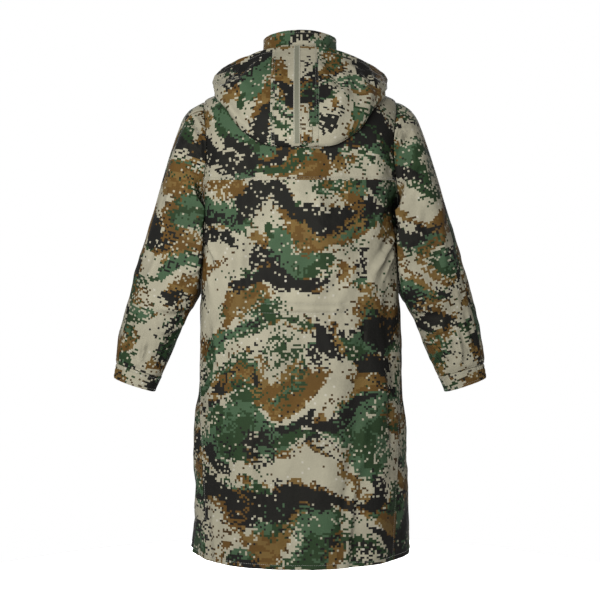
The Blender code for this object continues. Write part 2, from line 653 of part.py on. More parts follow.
def make_slider(metal):
    """Front and back plates joined by a post between the tapes, with the bridge that
    holds the pull."""
    tape, face, (hinge_y, hinge_z) = zip_line()
    back = tape + TRIM + PULL_PLAY
    rear = back + SLIDER_BACK_PLATE
    half = SLIDER_WIDTH / 2
    low, top = hinge_z - SLIDER_HEIGHT / 2, hinge_z + SLIDER_HEIGHT / 2
    front = box("slider_front", (-half, face, low), (half, face + SLIDER_PLATE, top))
    other = box("slider_back", (-half, back, low), (half, rear, top))
    half = SLIDER_POST_WIDTH / 2
    post = box("slider_post", (-half, face, top - SLIDER_POST_HEIGHT), (half, rear, top))
    hole = PULL_BAR / 2 + PULL_PLAY
    reach = hole + BRIDGE_WALL
    half = BRIDGE_WIDTH / 2
    arch = box(
        "bridge",
        (-half, hinge_y - reach, hinge_z - reach),
        (half, face + SLIDER_PLATE / 2, hinge_z + reach),
    )
    opening = box(
        "bridge_hole",
        (-BRIDGE_WIDTH, hinge_y - hole, hinge_z - hole),
        (BRIDGE_WIDTH, face, hinge_z + hole),
    )
    slider = add_object("zip_slider", front.data.copy(), metal)
    for helper in (other, post, arch):
        combine(slider, helper, "UNION")
    combine(slider, opening, "DIFFERENCE")


def make_pull(metal):
    """The pull tab, which hangs from its bar in the slider's bridge. Its object's
    origin is on the hinge."""
    hinge_y, hinge_z = zip_line()[2]
    half, thin = PULL_WIDTH / 2, PULL_BAR / 2
    tab = box("pull_tab", (-half, -thin, -PULL_LENGTH), (half, thin, 0.0))
    window = box(
        "pull_window",
        (-PULL_WINDOW_HALF, -2 * thin, -PULL_WINDOW_END),
        (PULL_WINDOW_HALF, 2 * thin, 2 * thin),
    )
    rod = bar("pull_bar", thin, -half, half, 0.0, 0.0)
    pull = add_object("zip_pull", tab.data.copy(), metal)
    corners = pull.modifiers.new("corners", "BEVEL")
    corners.width = PULL_WIDTH / 5
    corners.segments = 3
    corners.limit_method = "VGROUP"
    group = pull.vertex_groups.new(name="low_corners")
    low = [v.index for v in pull.data.vertices if v.co.z < -PULL_LENGTH / 2]
    group.add(low, 1.0, "REPLACE")
    corners.vertex_group = "low_corners"
    combine(pull, window, "DIFFERENCE")
    combine(pull, rod, "UNION")
    for piece in (pull, window, rod):
        piece.location = (0.0, hinge_y, hinge_z)


def make_zip_box(metal):
    """The box at the foot of the zip, in front of both tapes."""
    width, thick, tall = ZIP_BOX
    front = torso(180.0, HEM - tall)[1] + CLOTH + ZIP_TAPE_GAP - LAID_GAP
    low = -HEM + SEAM_GAP
    block = box(
        "zip_box_shape", (-width / 2, front - thick, low), (width / 2, front, low + tall)
    )
    add_object("zip_box", block.data.copy(), metal)


def main():
    for thing in list(bpy.data.objects):
        bpy.data.objects.remove(thing)
    for collection in (coat, cutters):
        bpy.context.scene.collection.children.link(collection)
    cloth = material("camouflage_cloth", (0.30, 0.28, 0.20), 0.55)
    tape = material("khaki_tape", (0.32, 0.30, 0.20), 0.80)
    elastic = material("dark_elastic", (0.05, 0.05, 0.04), 0.90)
    zip_tape = material("olive_zip_tape", (0.12, 0.13, 0.08), 0.85)
    metal = material("dark_zip_metal", (0.16, 0.15, 0.13), 0.40, 1.0)
    make_torso(cloth)
    for side, mirrored in (("left", False), ("right", True)):
        make_sleeve(side, mirrored, cloth, elastic)
    make_collar(cloth)
    make_hood(cloth, tape)
    make_zip(zip_tape, metal)


main()
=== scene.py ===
"""Looks of the long hooded windbreaker, laid out as a Blender add-on and run as a script.

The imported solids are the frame. Each cloth solid is replaced by a thin shell on the
same surface, with its creases, seams, hems, stitches and printed cloth. A surface is a
function of two parameters, such as torso(angle, down), and is worked out as one numpy
array. +X is the wearer's left, -Y the front, +Z up, and the origin is at the nape.
"""

import math

import bpy
import numpy as np
from bpy.props import FloatProperty, FloatVectorProperty, PointerProperty
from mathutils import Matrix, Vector


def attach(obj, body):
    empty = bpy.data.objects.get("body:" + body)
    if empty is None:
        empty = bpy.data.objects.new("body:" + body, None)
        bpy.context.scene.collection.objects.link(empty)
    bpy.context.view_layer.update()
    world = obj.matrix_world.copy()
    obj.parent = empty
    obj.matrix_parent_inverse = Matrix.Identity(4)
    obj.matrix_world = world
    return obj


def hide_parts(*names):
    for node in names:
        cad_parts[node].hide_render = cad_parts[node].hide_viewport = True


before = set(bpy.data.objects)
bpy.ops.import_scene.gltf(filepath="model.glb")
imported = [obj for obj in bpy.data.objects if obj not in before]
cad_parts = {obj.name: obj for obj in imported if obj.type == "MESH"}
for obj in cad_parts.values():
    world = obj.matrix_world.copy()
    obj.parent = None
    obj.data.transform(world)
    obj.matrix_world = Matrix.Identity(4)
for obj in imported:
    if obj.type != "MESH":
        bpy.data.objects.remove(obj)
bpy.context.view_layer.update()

bl_info = {
    "name": "Long hooded windbreaker",
    "version": (1, 0, 0),
    "blender": (4, 5, 0),
    "location": "3D view > Sidebar > Windbreaker",
    "description": "Dresses the solids of a hooded rain coat with its cloth, seams and zip",
    "category": "Add Mesh",
}

LIT_POINT = (0.0, 0.0, -0.25)
FLOOR_RINGS, FLOOR_SIDES = (0.5, 1.0, 1.4), 64

# ------------------------------------------------------------------ the coat's form


def table(text):
    """A table, its columns' names in the first line, as one array for each column."""
    names, *rows = text.strip().splitlines()
    return dict(zip(names.split(), np.array([row.split() for row in rows], float).T))


# Sections of the torso, as in the solids: height at the side, half width, and the
# depth and height at centre back and centre front. Heights are metres down.
TORSO = table("""
down half_width back_depth back_down front_depth front_down squareness
.009 .0845 .074 0 .08 .06 2
.024 .116 .094 .018 .096 .078 2.05
.04 .15 .109 .044 .11 .098 2.1
.056 .1835 .121 .072 .121 .118 2.2
.07 .213 .129 .098 .13 .138 2.3
.1 .2225 .136 .13 .136 .162 2.4
.15 .229 .141 .174 .141 .195 2.4
.2 .23 .144 .216 .144 .228 2.4
.25 .226 .1455 .259 .146 .264 2.4
.3 .219 .146 .304 .147 .305 2.4
.4 .2186 .1445 .403 .146 .404 2.4
.53 .222 .143 .533 .145 .533 2.4
.74 .2295 .153 .743 .154 .743 2.35
.9 .2358 .163 .904 .163 .903 2.3
1.071 .242 .17 1.08 .171 1.077 2.3
""")
NECK, SHOULDER, UNDERARM, HEM = 0.009, 0.070, 0.300, 1.071
SIDE_SEAM = table("""
down angle
.3 90
.4 85
.53 78
.74 69
.9 60
1.071 53.6
""")

# The armhole: an ellipse, given by its depth behind and in front of the side, and by
# the middle and half of its height.
ARMHOLE_DEPTH = {"back": 0.080, "front": 0.078}
ARMHOLE_MIDDLE, ARMHOLE_HALF = (UNDERARM + SHOULDER) / 2, (UNDERARM - SHOULDER) / 2

# The largest folds of the torso, which the solids have too.
TORSO_FOLDS = table("""
top_angle bottom_angle top bottom half_angle depth
27 22 .36 .6 6 .007
-33 -27 .52 1.12 6 .008
-44 -38 .6 1.12 7 -.006
38 46 .7 1.12 8 .005
6 3 .56 .9 6 .004
138 150 .45 1.12 9 .008
-142 -130 .4 1.12 9 .008
""")

# Sections of the left sleeve: the outer and inner end of each ring, half its depth,
# how far forward it is, and how closely its inner side follows the torso.
SLEEVE = table("""
outer_x outer_down inner_x inner_down half_depth forward hug
.2133 .07 .2196 .3 .08 0 0
.232 .0785 .2206 .303 .081 0 0
.252 .0965 .2209 .306 .083 0 .1
.272 .137 .221 .31 .086 0 .3
.2945 .2 .2211 .3155 .088 .001 .6
.3195 .284 .2211 .325 .087 .002 1
.34 .35 .2212 .385 .081 .003 1
.357 .407 .2222 .445 .075 .005 1
.371 .454 .225 .4925 .069 .007 .6
.384 .501 .245 .5375 .065 .01 0
.396 .545 .2668 .5825 .062 .013 0
.408 .59 .2858 .6275 .058 .015 0
.4145 .625 .3 .658 .053 .017 0
.4165 .648 .309 .6775 .047 .018 0
.4151 .6572 .3141 .6883 .0405 .018 0
""")
SLEEVE_SQUARENESS, HUGGED_SQUARENESS, HUGGED_PART = 2.2, 2.8, 0.8
SLEEVE_END = 14.0  # the last ring's place: places count the rings above
ARMHOLE_REACH = 3.0  # the place at which the armhole's shape has faded out
TUBE_PLACE = 5.5  # a ring below the armhole, square to the sleeve
SLEEVE_SEAM = 36.0  # the outer seam, in degrees behind the outer line
ELASTIC_REACH = 54.0  # the elastic's ends, in degrees from the outer line
CUFF = table("""
outer_x outer_down inner_x inner_down half_depth forward
.4151 .6572 .3141 .6883 .0405 .018
.4212 .6905 .3292 .722 .0385 .018
""")
COLLAR_TOP = {"half_width": 0.0810, "back_depth": 0.0710, "front_depth": 0.0800}
COLLAR_RISE = {"back": 0.075, "side": 0.069, "front": 0.008}

# The open hood: for each angle round the neck, its face edge, the torso row that its
# bottom fold lies on, and how far the outer layer bellies out.
HOOD = table("""
angle face_x face_y face_z fold_down belly
0 0 .096 .034 .175 .04
15 .0605 .094 .031 .1735 .04
30 .113 .08 .018 .141 .034
42 .146 .062 .006 .09 .024
60 .18 .032 -.009 .062 .012
75 .193 .01 -.0155 .0575 .006
90 .196 -.01 -.019 .0555 .004
110 .184 -.05 -.036 .054 .004
130 .147 -.088 -.05 .046 .005
150 .088 -.112 -.062 .036 .005
166 .04 -.113 -.066 .03 .004
""")
HOOD_NECK_DOWN, HOOD_NECK_GAP, HOOD_CLEARANCE = 0.0115, 0.0013, 0.0045
HOOD_UNDER_SHARE, HOOD_UNDER_POWER, BELLY_LOW = 0.35, 1.6, 0.62
HOOD_END = 166.0
HOOD_STRIP_LEFT, HOOD_STRIP_RIGHT = 14.6, -9.6
TAPE_LEFT, TAPE_RIGHT = 3.35, -0.05
STRAP_RIGHT, PATCH_RIGHT = -4.6, -6.2
STRAP_LOW, PATCH_HIGH, STRAP_HIGH = 0.04, 0.18, 0.40

ZIP_HALF_GAP, TOOTH_HALF_GAP, ZIP_TAPE_EDGE, ZIP_TAPE_GAP = 0.0060, 0.0015, 0.0175, 0.0005
COLLAR_WALL, FRONT_WALL = 0.0030, 0.0018  # of the solids that the zip tapes lie behind
TRIM, LAID_GAP = 0.0012, 0.0003  # thickness of tape and strap, and the gap under them
TAPE_BAND = 0.0046  # half width of the darker middle of the hood's tape
MIRROR = np.array([-1.0, 1.0, 1.0])
SIDES = (("left", 1), ("right", -1))


def smooth(section, column, at, key="down"):
    """Monotone cubic through a table's column: Hermite pieces whose slope at a row is
    the harmonic mean of the slopes beside it, so it never overshoots."""
    x, y = section[key], section[column]
    at = np.clip(at, x[0], x[-1])
    step = np.diff(x)
    slope = np.diff(y) / step
    tangent = np.zeros_like(y)
    tangent[0], tangent[-1] = slope[0], slope[-1]
    same_way = slope[:-1] * slope[1:] > 0
    total = np.where(same_way, slope[:-1] + slope[1:], 1.0)
    tangent[1:-1] = np.where(same_way, 2 * slope[:-1] * slope[1:] / total, 0.0)
    i = np.clip(np.searchsorted(x, at, side="right") - 1, 0, len(x) - 2)
    t = (at - x[i]) / step[i]
    rise = (3 - 2 * t) * t * t
    low = (t - 1) ** 2 * t * step[i] * tangent[i]
    high = (t - 1) * t * t * step[i] * tangent[i + 1]
    return y[i] * (1 - rise) + y[i + 1] * rise + low + high


def ramp(value, start, end):
    """Smooth step: 3t^2 - 2t^3 of the share t of the way from start to end."""
    t = np.clip((value - start) / (end - start), 0.0, 1.0)
    return t * t * (3 - 2 * t)


def ring(angle, squareness):
    """Superellipse |x|^n + |y|^n = 1, met by the ray at an angle from +y."""
    s, c = np.sin(angle), np.cos(angle)
    reach = (np.abs(s) ** squareness + np.abs(c) ** squareness) ** (-1 / squareness)
    return s * reach, c * reach


def unit(vectors):
    """Vectors divided by their lengths."""
    return vectors / np.maximum(np.linalg.norm(vectors, axis=-1, keepdims=True), 1e-12)


def normals(surface, a, b, outward):
    """Cross product of the slopes of surface(a, b) along a and b, of length one."""
    h = 1e-4
    along_a = surface(a + h, b) - surface(a - h, b)
    along_b = surface(a, b + h) - surface(a, b - h)
    return outward * unit(np.cross(along_a, along_b))


def grids(*values):
    """Numbers or arrays as arrays of one shape."""
    return np.broadcast_arrays(*(np.asarray(value, float) for value in values))


def torso(angle, down):
    """A superellipse ring at each height, tilted towards centre back and front, with
    the large folds taken off its radius. angle is in degrees from centre back."""
    angle, down = grids(angle, down)
    turn = np.radians(angle)
    across, along = ring(turn, smooth(TORSO, "squareness", down))
    behind = np.cos(turn) >= 0
    depth = np.where(
        behind, smooth(TORSO, "back_depth", down), smooth(TORSO, "front_depth", down)
    )
    middle = np.where(
        behind, smooth(TORSO, "back_down", down), smooth(TORSO, "front_down", down)
    )
    x = smooth(TORSO, "half_width", down) * across
    y = depth * along
    z = -(down + (middle - down) * np.cos(turn) ** 2)
    inward = 1 - torso_fold(angle, down) / np.hypot(x, y)
    return np.stack([x * inward, y * inward, z], axis=-1)


def torso_fold(angle, down):
    """Sum of bells exp(-((angle - middle) / half)^2), each faded at both ends."""
    total = np.zeros(angle.shape)
    for top_angle, bottom_angle, top, bottom, half, depth in zip(*TORSO_FOLDS.values()):
        along = np.clip((down - top) / (bottom - top), 0, 1)
        middle = top_angle + (bottom_angle - top_angle) * along
        bell = np.exp(-(((angle - middle) / half) ** 2))
        fade = ramp(along, 0.0, 0.3) * (1 - 0.6 * ramp(along, 0.8, 1.0))
        total += depth * bell * fade
    return total


def edge_angle(down, part):
    """Angle at which the torso's back or front stops: where the ring's depth meets the
    ellipse of the armhole, and the side seam below it."""
    down = np.asarray(down, float)
    share = np.clip(1 - ((down - ARMHOLE_MIDDLE) / ARMHOLE_HALF) ** 2, 1e-12, 1)
    power = smooth(TORSO, "squareness", down)
    ratio = smooth(TORSO, f"{part}_depth", down) / (ARMHOLE_DEPTH[part] * np.sqrt(share))
    at_armhole = np.degrees(np.arctan((ratio**power - 1) ** (1 / power)))
    at_armhole = np.where((down > SHOULDER) & (down < UNDERARM), at_armhole, 90.0)
    if part == "front":
        at_armhole = 180 - at_armhole
    return np.where(down > UNDERARM, smooth(SIDE_SEAM, "angle", down), at_armhole)


def armhole(turn):
    """The torso's points along the armhole, from the shoulder over the back."""
    turn = np.radians(turn)
    down = ARMHOLE_MIDDLE - ARMHOLE_HALF * np.cos(turn)
    behind, ahead = edge_angle(down, "back"), edge_angle(down, "front")
    return torso(np.where(np.sin(turn) >= 0, behind, ahead), down)


def sleeve_sizes(place):
    """Every column of the sleeve's table at a place between its sections."""
    rows = {"row": np.arange(len(SLEEVE["hug"])), **SLEEVE}
    return {column: smooth(rows, column, place, "row") for column in SLEEVE}


def oval(size, turn, power):
    """A slanted superellipse ring: its middle plus a share of its two half axes."""
    back, out = ring(np.radians(turn), power)
    x = (size["outer_x"] + size["inner_x"]) / 2
    x = x + (size["outer_x"] - size["inner_x"]) / 2 * out
    down = (size["outer_down"] + size["inner_down"]) / 2
    down = down + (size["outer_down"] - size["inner_down"]) / 2 * out
    return x, size["half_depth"] * back, down, out


def torso_narrowing(y, down):
    """Half width lost at a depth y: width * (1 - (1 - |y / depth|^n)^(1/n))."""
    power = smooth(TORSO, "squareness", down)
    share = np.clip(np.abs(y) / smooth(TORSO, "back_depth", down), 0, 0.98)
    return smooth(TORSO, "half_width", down) * (1 - (1 - share**power) ** (1 / power))


def sleeve(turn, place):
    """The left sleeve: slanted superellipse rings. The armhole's shape fades out of the
    first ones, and the inner side is moved off the torso where it hugs it."""
    turn, place = grids(turn, place)
    size = sleeve_sizes(place)
    inner = np.cos(np.radians(turn)) < 0
    power = SLEEVE_SQUARENESS + np.where(inner, HUGGED_SQUARENESS * size["hug"], 0.0)
    x, y, down, out = oval(size, turn, power)
    closeness = np.where(inner, size["hug"] * ramp(-out, 0.0, HUGGED_PART), 0.0)
    x = x - closeness * torso_narrowing(y, down)
    points = np.stack([x, y - size["forward"], -down], axis=-1)
    start = np.clip(1 - place / ARMHOLE_REACH, 0, 1)[..., None] ** 2
    x, y, down, out = oval(sleeve_sizes(0.0), turn, SLEEVE_SQUARENESS)
    return points + start * (armhole(turn) - np.stack([x, y, -down], axis=-1))


def cuff(turn, place):
    """A slanted superellipse ring that shrinks evenly from the seam to the edge."""
    turn, place = grids(turn, place)
    size = {c: v[0] + (v[1] - v[0]) * place for c, v in CUFF.items()}
    x, y, down, _ = oval(size, turn, SLEEVE_SQUARENESS)
    return np.stack([x, y - size["forward"], -down], axis=-1)


def collar(angle, height):
    """Straight lines from the neck seam to an ellipse whose height follows cos^2."""
    angle, height = grids(angle, height)
    turn = np.radians(angle)
    foot = torso(angle, NECK)
    behind = np.cos(turn) >= 0
    across, along = ring(turn, 2.0)
    depth = np.where(behind, COLLAR_TOP["back_depth"], COLLAR_TOP["front_depth"])
    end = np.where(behind, COLLAR_RISE["back"], COLLAR_RISE["front"])
    rise = COLLAR_RISE["side"] + (end - COLLAR_RISE["side"]) * np.cos(turn) ** 2
    top = np.stack([COLLAR_TOP["half_width"] * across, depth * along, rise], axis=-1)
    return foot + (top - foot) * height[..., None]


def hood(angle, place):
    """From the neck along the torso to the bottom fold, then a line up to the face edge
    with a sine belly. place is 0 at the neck and 1 at the face edge."""
    angle, place = grids(angle, place)
    size = {c: smooth(HOOD, c, np.abs(angle), "angle") for c in HOOD}
    side = np.where(angle < 0, -1.0, 1.0)
    under = np.clip(place / HOOD_UNDER_SHARE, 0, 1)
    outer = np.clip((place - HOOD_UNDER_SHARE) / (1 - HOOD_UNDER_SHARE), 0, 1)
    down = HOOD_NECK_DOWN + (size["fold_down"] - HOOD_NECK_DOWN) * under**HOOD_UNDER_POWER
    lift = HOOD_NECK_GAP + (HOOD_CLEARANCE - HOOD_NECK_GAP) * ramp(under, 0.0, 0.12)
    away = normals(torso, angle, down, 1)
    low = torso(angle, down) + away * lift[..., None]
    face = np.stack([side * size["face_x"], size["face_y"], size["face_z"]], axis=-1)
    outward = away * np.array([1.0, 1.0, 0.0])
    belly = size["belly"] * np.sin(np.pi * outer**BELLY_LOW)
    high = low + (face - low) * outer[..., None] + unit(outward) * belly[..., None]
    return np.where((outer > 0)[..., None], high, low)


# ------------------------------------------------------------------ creases and edges

# Main creases of the torso, listed one by one: both ends as angle and metres down, half
# width, height (under 0 is a valley) and how far the line bows, all in metres.
TORSO_CREASES = table("""
across0 along0 across1 along1 half height bow
29.5 .37 28 .6 .009 -.0053 .004
-70 .362 -41 .462 .0072 .0083 .006
-66 .392 -50 .482 .0063 .0048 .004
-35.5 .545 -36 .625 .0036 -.0039 .001
-35 .76 -30 .89 .0081 .0073 -.003
-31.5 .85 -22 1.1 .009 .0088 .004
20 .76 19 1.04 .0117 -.0048 .004
71 .352 50 .44 .0072 .0073 -.006
66 .4 55 .52 .009 .0053 -.004
55.5 .206 39 .209 .0027 .0023 .001
-52 .215 -38 .205 .0036 .002 .001
12 .545 17 .64 .0063 .0034 .002
-2 .545 -6 .61 .0054 .0029 .002
-14 .545 -24 .65 .0063 -.0038 .002
10 .52 20 .44 .0072 .0029 .003
-8 .515 -24 .43 .0081 .0034 -.003
52 .56 42 .7 .009 .0053 .005
50 .93 45 1.1 .0108 .0064 .003
4 .96 7 1.1 .0108 -.0048 .002
-52 .64 -56 .86 .009 -.0064 .004
-8 .275 -16 .345 .0072 .0029 .003
18 .275 24 .35 .0072 .0029 -.003
-58 .3 -44 .345 .0081 .0048 .004
110 .362 134 .455 .0081 .0083 -.006
114 .4 128 .52 .0081 .0053 -.004
148 .4 151 .64 .0108 -.0053 .005
140 .7 152 1.02 .0099 .0073 .005
124 .82 128 1.1 .0108 -.0064 .004
168 .56 160 .66 .0072 .0039 .003
-112 .358 -138 .47 .0072 .0078 .006
-116 .42 -126 .56 .009 .0059 .004
-152 .33 -148 .56 .009 -.0048 .004
-136 .64 -142 .98 .0108 .0073 -.005
-160 .8 -156 1.09 .0108 -.0059 .004
-122 .9 -118 1.1 .0099 .0059 .003
""")

# Main creases of the sleeves: which sleeve (1 left, -1 right, 0 both), both ends as
# turn and place, and the same sizes as above.
SLEEVE_CREASES = table("""
side across0 along0 across1 along1 half height bow
1 40 2.1 84 0 .0072 -.007 .004
1 62 3.4 96 .3 .0072 .0051 .004
-1 58 2.3 92 .4 .0054 -.008 .003
-1 50 1.4 84 .2 .0054 .0061 -.003
-1 60 3.6 112 3.3 .0063 .0037 .003
1 150 6.4 104 8.1 .0072 .0085 -.006
-1 150 6.6 96 8.5 .0081 .008 -.006
0 140 4.6 92 6.2 .009 .0061 .006
1 70 6.2 62 8.4 .0099 .0065 .004
-1 66 5.6 74 8 .0099 .0061 -.004
0 168 8.6 88 9.3 .0081 .0085 .006
0 172 9.5 104 10.3 .0072 .007 .005
1 92 10.7 96 12.4 .0063 .0061 .003
1 124 10.4 132 12 .0063 .0051 .003
-1 84 10.2 96 12.6 .0072 .0065 -.003
-1 130 10.8 118 12.4 .0054 -.0051 .003
0 56 9.6 50 12.2 .0081 -.0051 .003
0 214 4.4 268 6.6 .0099 .007 .006
0 206 6.6 262 8.2 .0081 .0085 .006
1 196 8.7 272 9.2 .0081 .0089 -.006
-1 198 8.4 280 9.4 .009 .0085 .005
0 204 9.9 262 10.5 .0072 .007 .004
0 286 5.4 300 8.4 .0099 .0061 .004
1 300 2.2 268 .3 .0072 -.0065 -.004
-1 306 2.6 276 .5 .0063 -.0061 -.004
0 300 10 292 12.6 .0072 .0061 .003
0 250 11 244 12.8 .0063 -.0051 .003
""")

# Main creases of the hood's outer layer: both ends as the angle round the neck and
# the parameter from the bottom fold to the face edge.
HOOD_CREASES = table("""
across0 along0 across1 along1 half height bow
33 .45 20 .95 .0081 .008 .004
44 .3 34 .9 .0063 .0061 -.004
24 .05 33 .55 .009 -.0061 .004
-16 .1 -27 .7 .0081 .0065 .004
-36 .2 -30 .85 .0072 .007 -.004
-24 .5 -14 .98 .0072 -.0056 .003
-46 .3 -40 .9 .0054 .0046 .002
56 .2 50 .9 .0054 -.0046 .002
100 .1 92 .9 .0063 .0046 .002
-98 .1 -104 .9 .0063 .0046 .002
128 .1 122 .9 .0054 -.0042 .002
-130 .2 -136 .9 .0054 .0042 .002
""")

# Metres for each degree round, and for each unit of the second parameter.
TORSO_SCALE, SLEEVE_SCALE, HOOD_SCALE = (0.0039, 1.0), (0.00145, 0.047), (0.0021, 0.25)

WAIST_CASING = table("""
down half height
.52 .0026 -.002
.53 .0062 .0024
.54 .0026 -.002
""")
WAIST, WAIST_LEFT, WAIST_RIGHT = 0.530, 25.0, -26.0

# Distances from a seam at which a panel gets extra lines of points.
NEAR_EDGE = np.array((0.0, 0.0008, 0.0018, 0.0030, 0.0044, 0.0060, 0.0078, 0.0096, 0.0116))
SEWN_GAP = 0.00015

# Distances of the stitched lines from the edges beside them.
EDGE_LINE, LAP_LINE, HEM_LINE, HOOD_HEM_LINE = 0.0022, 0.0062, 0.0095, 0.0120
CUFF_LINE, COLLAR_LINE, STRAP_LINE, TAPE_LINE = 0.0050, 0.0050, 0.0026, 0.0010
STRIP_LINES = (0.0018, 0.0068)

# How far a panel reaches under the one that laps over it: the fronts under the back, the
# hood's sides under its strip and the elastic under the cuff's band, in degrees, and the
# back under the yoke, in metres.
SIDE_LAP, STRIP_LAP, CUFF_LAP, YOKE_LAP = 1.2, 1.0, 5.0, 0.010

# Rows of the cuffs above their seam, as shares of their length, and how far in they lie.
CUFF_TUCK, CUFF_TUCKED = (-0.12, -0.04), 0.0034
ARMHOLE_STEPS = 60
YOKE_STEP = 42  # the armhole step that the yoke seam meets
TURNS = {"seam": SLEEVE_SEAM, "underarm": 180.0, "end": 360.0 + SLEEVE_SEAM}
ROUND = (0, 90, 180, 270)


def noise_at(i, j, seed):
    """A repeatable value from -1 to 1 for each lattice point, from mixed integers."""
    mixed = (i * 73856093) ^ (j * 19349663) ^ (seed * 83492791)
    mixed = (mixed * 1103515245 + 12345) & 0x7FFFFFFF
    mixed = ((mixed ^ (mixed >> 13)) * 1274126177) & 0x7FFFFFFF
    return (mixed ^ (mixed >> 15)) / 0x3FFFFFFF - 1


def uneven(u, v, across, along, seed):
    """Value noise from -1 to 1: heights at the corners of cells of across by along
    metres, blended with 3t^2 - 2t^3 inside each cell."""
    i, j = np.floor(u / across), np.floor(v / along)
    x, y = u / across - i, v / along - j
    x, y = x * x * (3 - 2 * x), y * y * (3 - 2 * y)
    i, j = i.astype(np.int64), j.astype(np.int64)
    near = noise_at(i, j, seed) * (1 - x) + noise_at(i + 1, j, seed) * x
    far = noise_at(i, j + 1, seed) * (1 - x) + noise_at(i + 1, j + 1, seed) * x
    return near * (1 - y) + far * y


def creased(creases, scale, across, along):
    """Sum of ridges exp(-d^2), d being the distance from a bowed line over its half
    width, each with a shallow trough beside it and faded towards both ends."""
    total = np.zeros(np.broadcast(across, along).shape)
    named = (creases[c] for c in "across0 along0 across1 along1 half height bow".split())
    for a0, b0, a1, b1, half, height, bow in zip(*named):
        run = np.array(((a1 - a0) * scale[0], (b1 - b0) * scale[1]))
        length = np.hypot(*run)
        x, y = (across - a0) * scale[0], (along - b0) * scale[1]
        t = (x * run[0] + y * run[1]) / length**2
        d = ((x * run[1] - y * run[0]) / length - bow * 4 * t * (1 - t)) / half
        ridge = np.exp(-d * d) - 0.4 * np.exp(-(((d - 1.9) / 1.3) ** 2))
        total += height * ridge * ramp(t, -0.05, 0.3) * ramp(1 - t, -0.05, 0.35)
    return total


def dip(distance, depth, width):
    """A rounded step down at an edge: depth * exp(-(distance / width)^2)."""
    return -depth * np.exp(-((distance / width) ** 2))


def groove(distance, at, depth=0.0006, width=0.0011):
    """A stitched line at a distance from an edge, as a narrow bell."""
    return -depth * np.exp(-(((distance - at) / width) ** 2))


def puckers(along, distance, size, height, reach, seed):
    """Ripples across a seam: noise along it that fades as exp(-distance / reach)."""
    ripple = uneven(along, distance, size, reach * 2.5, seed)
    finer = uneven(along, distance, size * 0.55, reach * 1.5, seed + 1)
    return height * (ripple + 0.6 * finer) * np.exp(-distance / reach)


def beside(cloth, side):
    """Distance from one of a panel's edges, and the cloth coordinate along that edge."""
    return cloth[side], cloth["v" if side in ("left", "right") else "u"]


def nearer(cloth, one, other):
    """Distance from the nearer of two edges."""
    return np.minimum(cloth[one], cloth[other])


def seam(cloth, side, seed):
    """Relief of a panel beside a plain seam."""
    distance, along = beside(cloth, side)
    return dip(distance, 0.0010, 0.0026) + puckers(along, distance, 0.017, 0.0004, 0.014, seed)


def topstitched(cloth, side, seed, at=LAP_LINE):
    """Relief of a panel that laps over its neighbour and is stitched down near its edge."""
    distance, along = beside(cloth, side)
    lap = 0.0007 * (1 - ramp(distance, at - 0.0005, at + 0.0026))
    sewn = lap + groove(distance, at) + dip(distance, 0.0006, 0.0009)
    return sewn + puckers(along, distance, 0.014, 0.0004, 0.016, seed)


def hemmed(cloth, side, seed, at=HEM_LINE):
    """Relief of a turned edge: a thicker band, a stitched line and a slight wave."""
    distance, along = beside(cloth, side)
    band = 0.0006 * (1 - ramp(distance, at, at + 0.003))
    wave = 0.0011 * uneven(along, distance * 0, 0.055, 1.0, seed) * np.exp(-distance / 0.05)
    sewn = band + wave + groove(distance, at, 0.0008, 0.0014) + dip(distance, 0.0007, 0.0010)
    return sewn + puckers(along, distance, 0.013, 0.0004, 0.013, seed + 2)


def crumpled(u, v, size, height, seed):
    """Broad unevenness of worn cloth: slanted value noise of three sizes, the largest
    longest along the cloth, with the middle one folded to give soft ridges."""
    lean = u + 0.35 * v
    broad = uneven(lean, v, size, 1.9 * size, seed)
    ridges = 0.45 - np.abs(uneven(u - 0.5 * v, v, 0.62 * size, 0.9 * size, seed + 1))
    small = uneven(lean, v, 0.24 * size, 0.34 * size, seed + 2)
    return height * (broad + 0.8 * ridges + 0.22 * small)


def torso_relief(cloth):
    """Creases, the stitched waist casing and broad unevenness of the torso's cloth, which
    its side edges hold flat."""
    angle, down, u = cloth["a"], cloth["b"], cloth["u"]
    total = creased(TORSO_CREASES, TORSO_SCALE, angle, down)
    total += crumpled(angle * TORSO_SCALE[0], down, 0.086, 0.0062, 3)
    total += 0.0022 * uneven(angle * TORSO_SCALE[0] + 0.06 * down, down, 0.026, 0.20, 8)
    inside = ramp(angle, WAIST_RIGHT, WAIST_RIGHT + 2) * ramp(-angle, -WAIST_LEFT, 2 - WAIST_LEFT)
    for at, half, height in zip(*WAIST_CASING.values()):
        total += inside * height * np.exp(-(((down - at) / half) ** 2))
    total += inside * puckers(u, np.abs(down - WAIST), 0.011, 0.0013, 0.026, 6)
    total *= ramp(down, 0.08, 0.17) * ramp(nearer(cloth, "left", "right"), 0.0, 0.04)
    under_arm = ramp(down, 0.27, 0.31) * ramp(-down, -0.54, -0.49)
    under_arm *= 1 - ramp(np.abs(np.abs(angle) - 90), 10.0, 24.0)
    return np.where(total > 0, total * (1 - under_arm), total)


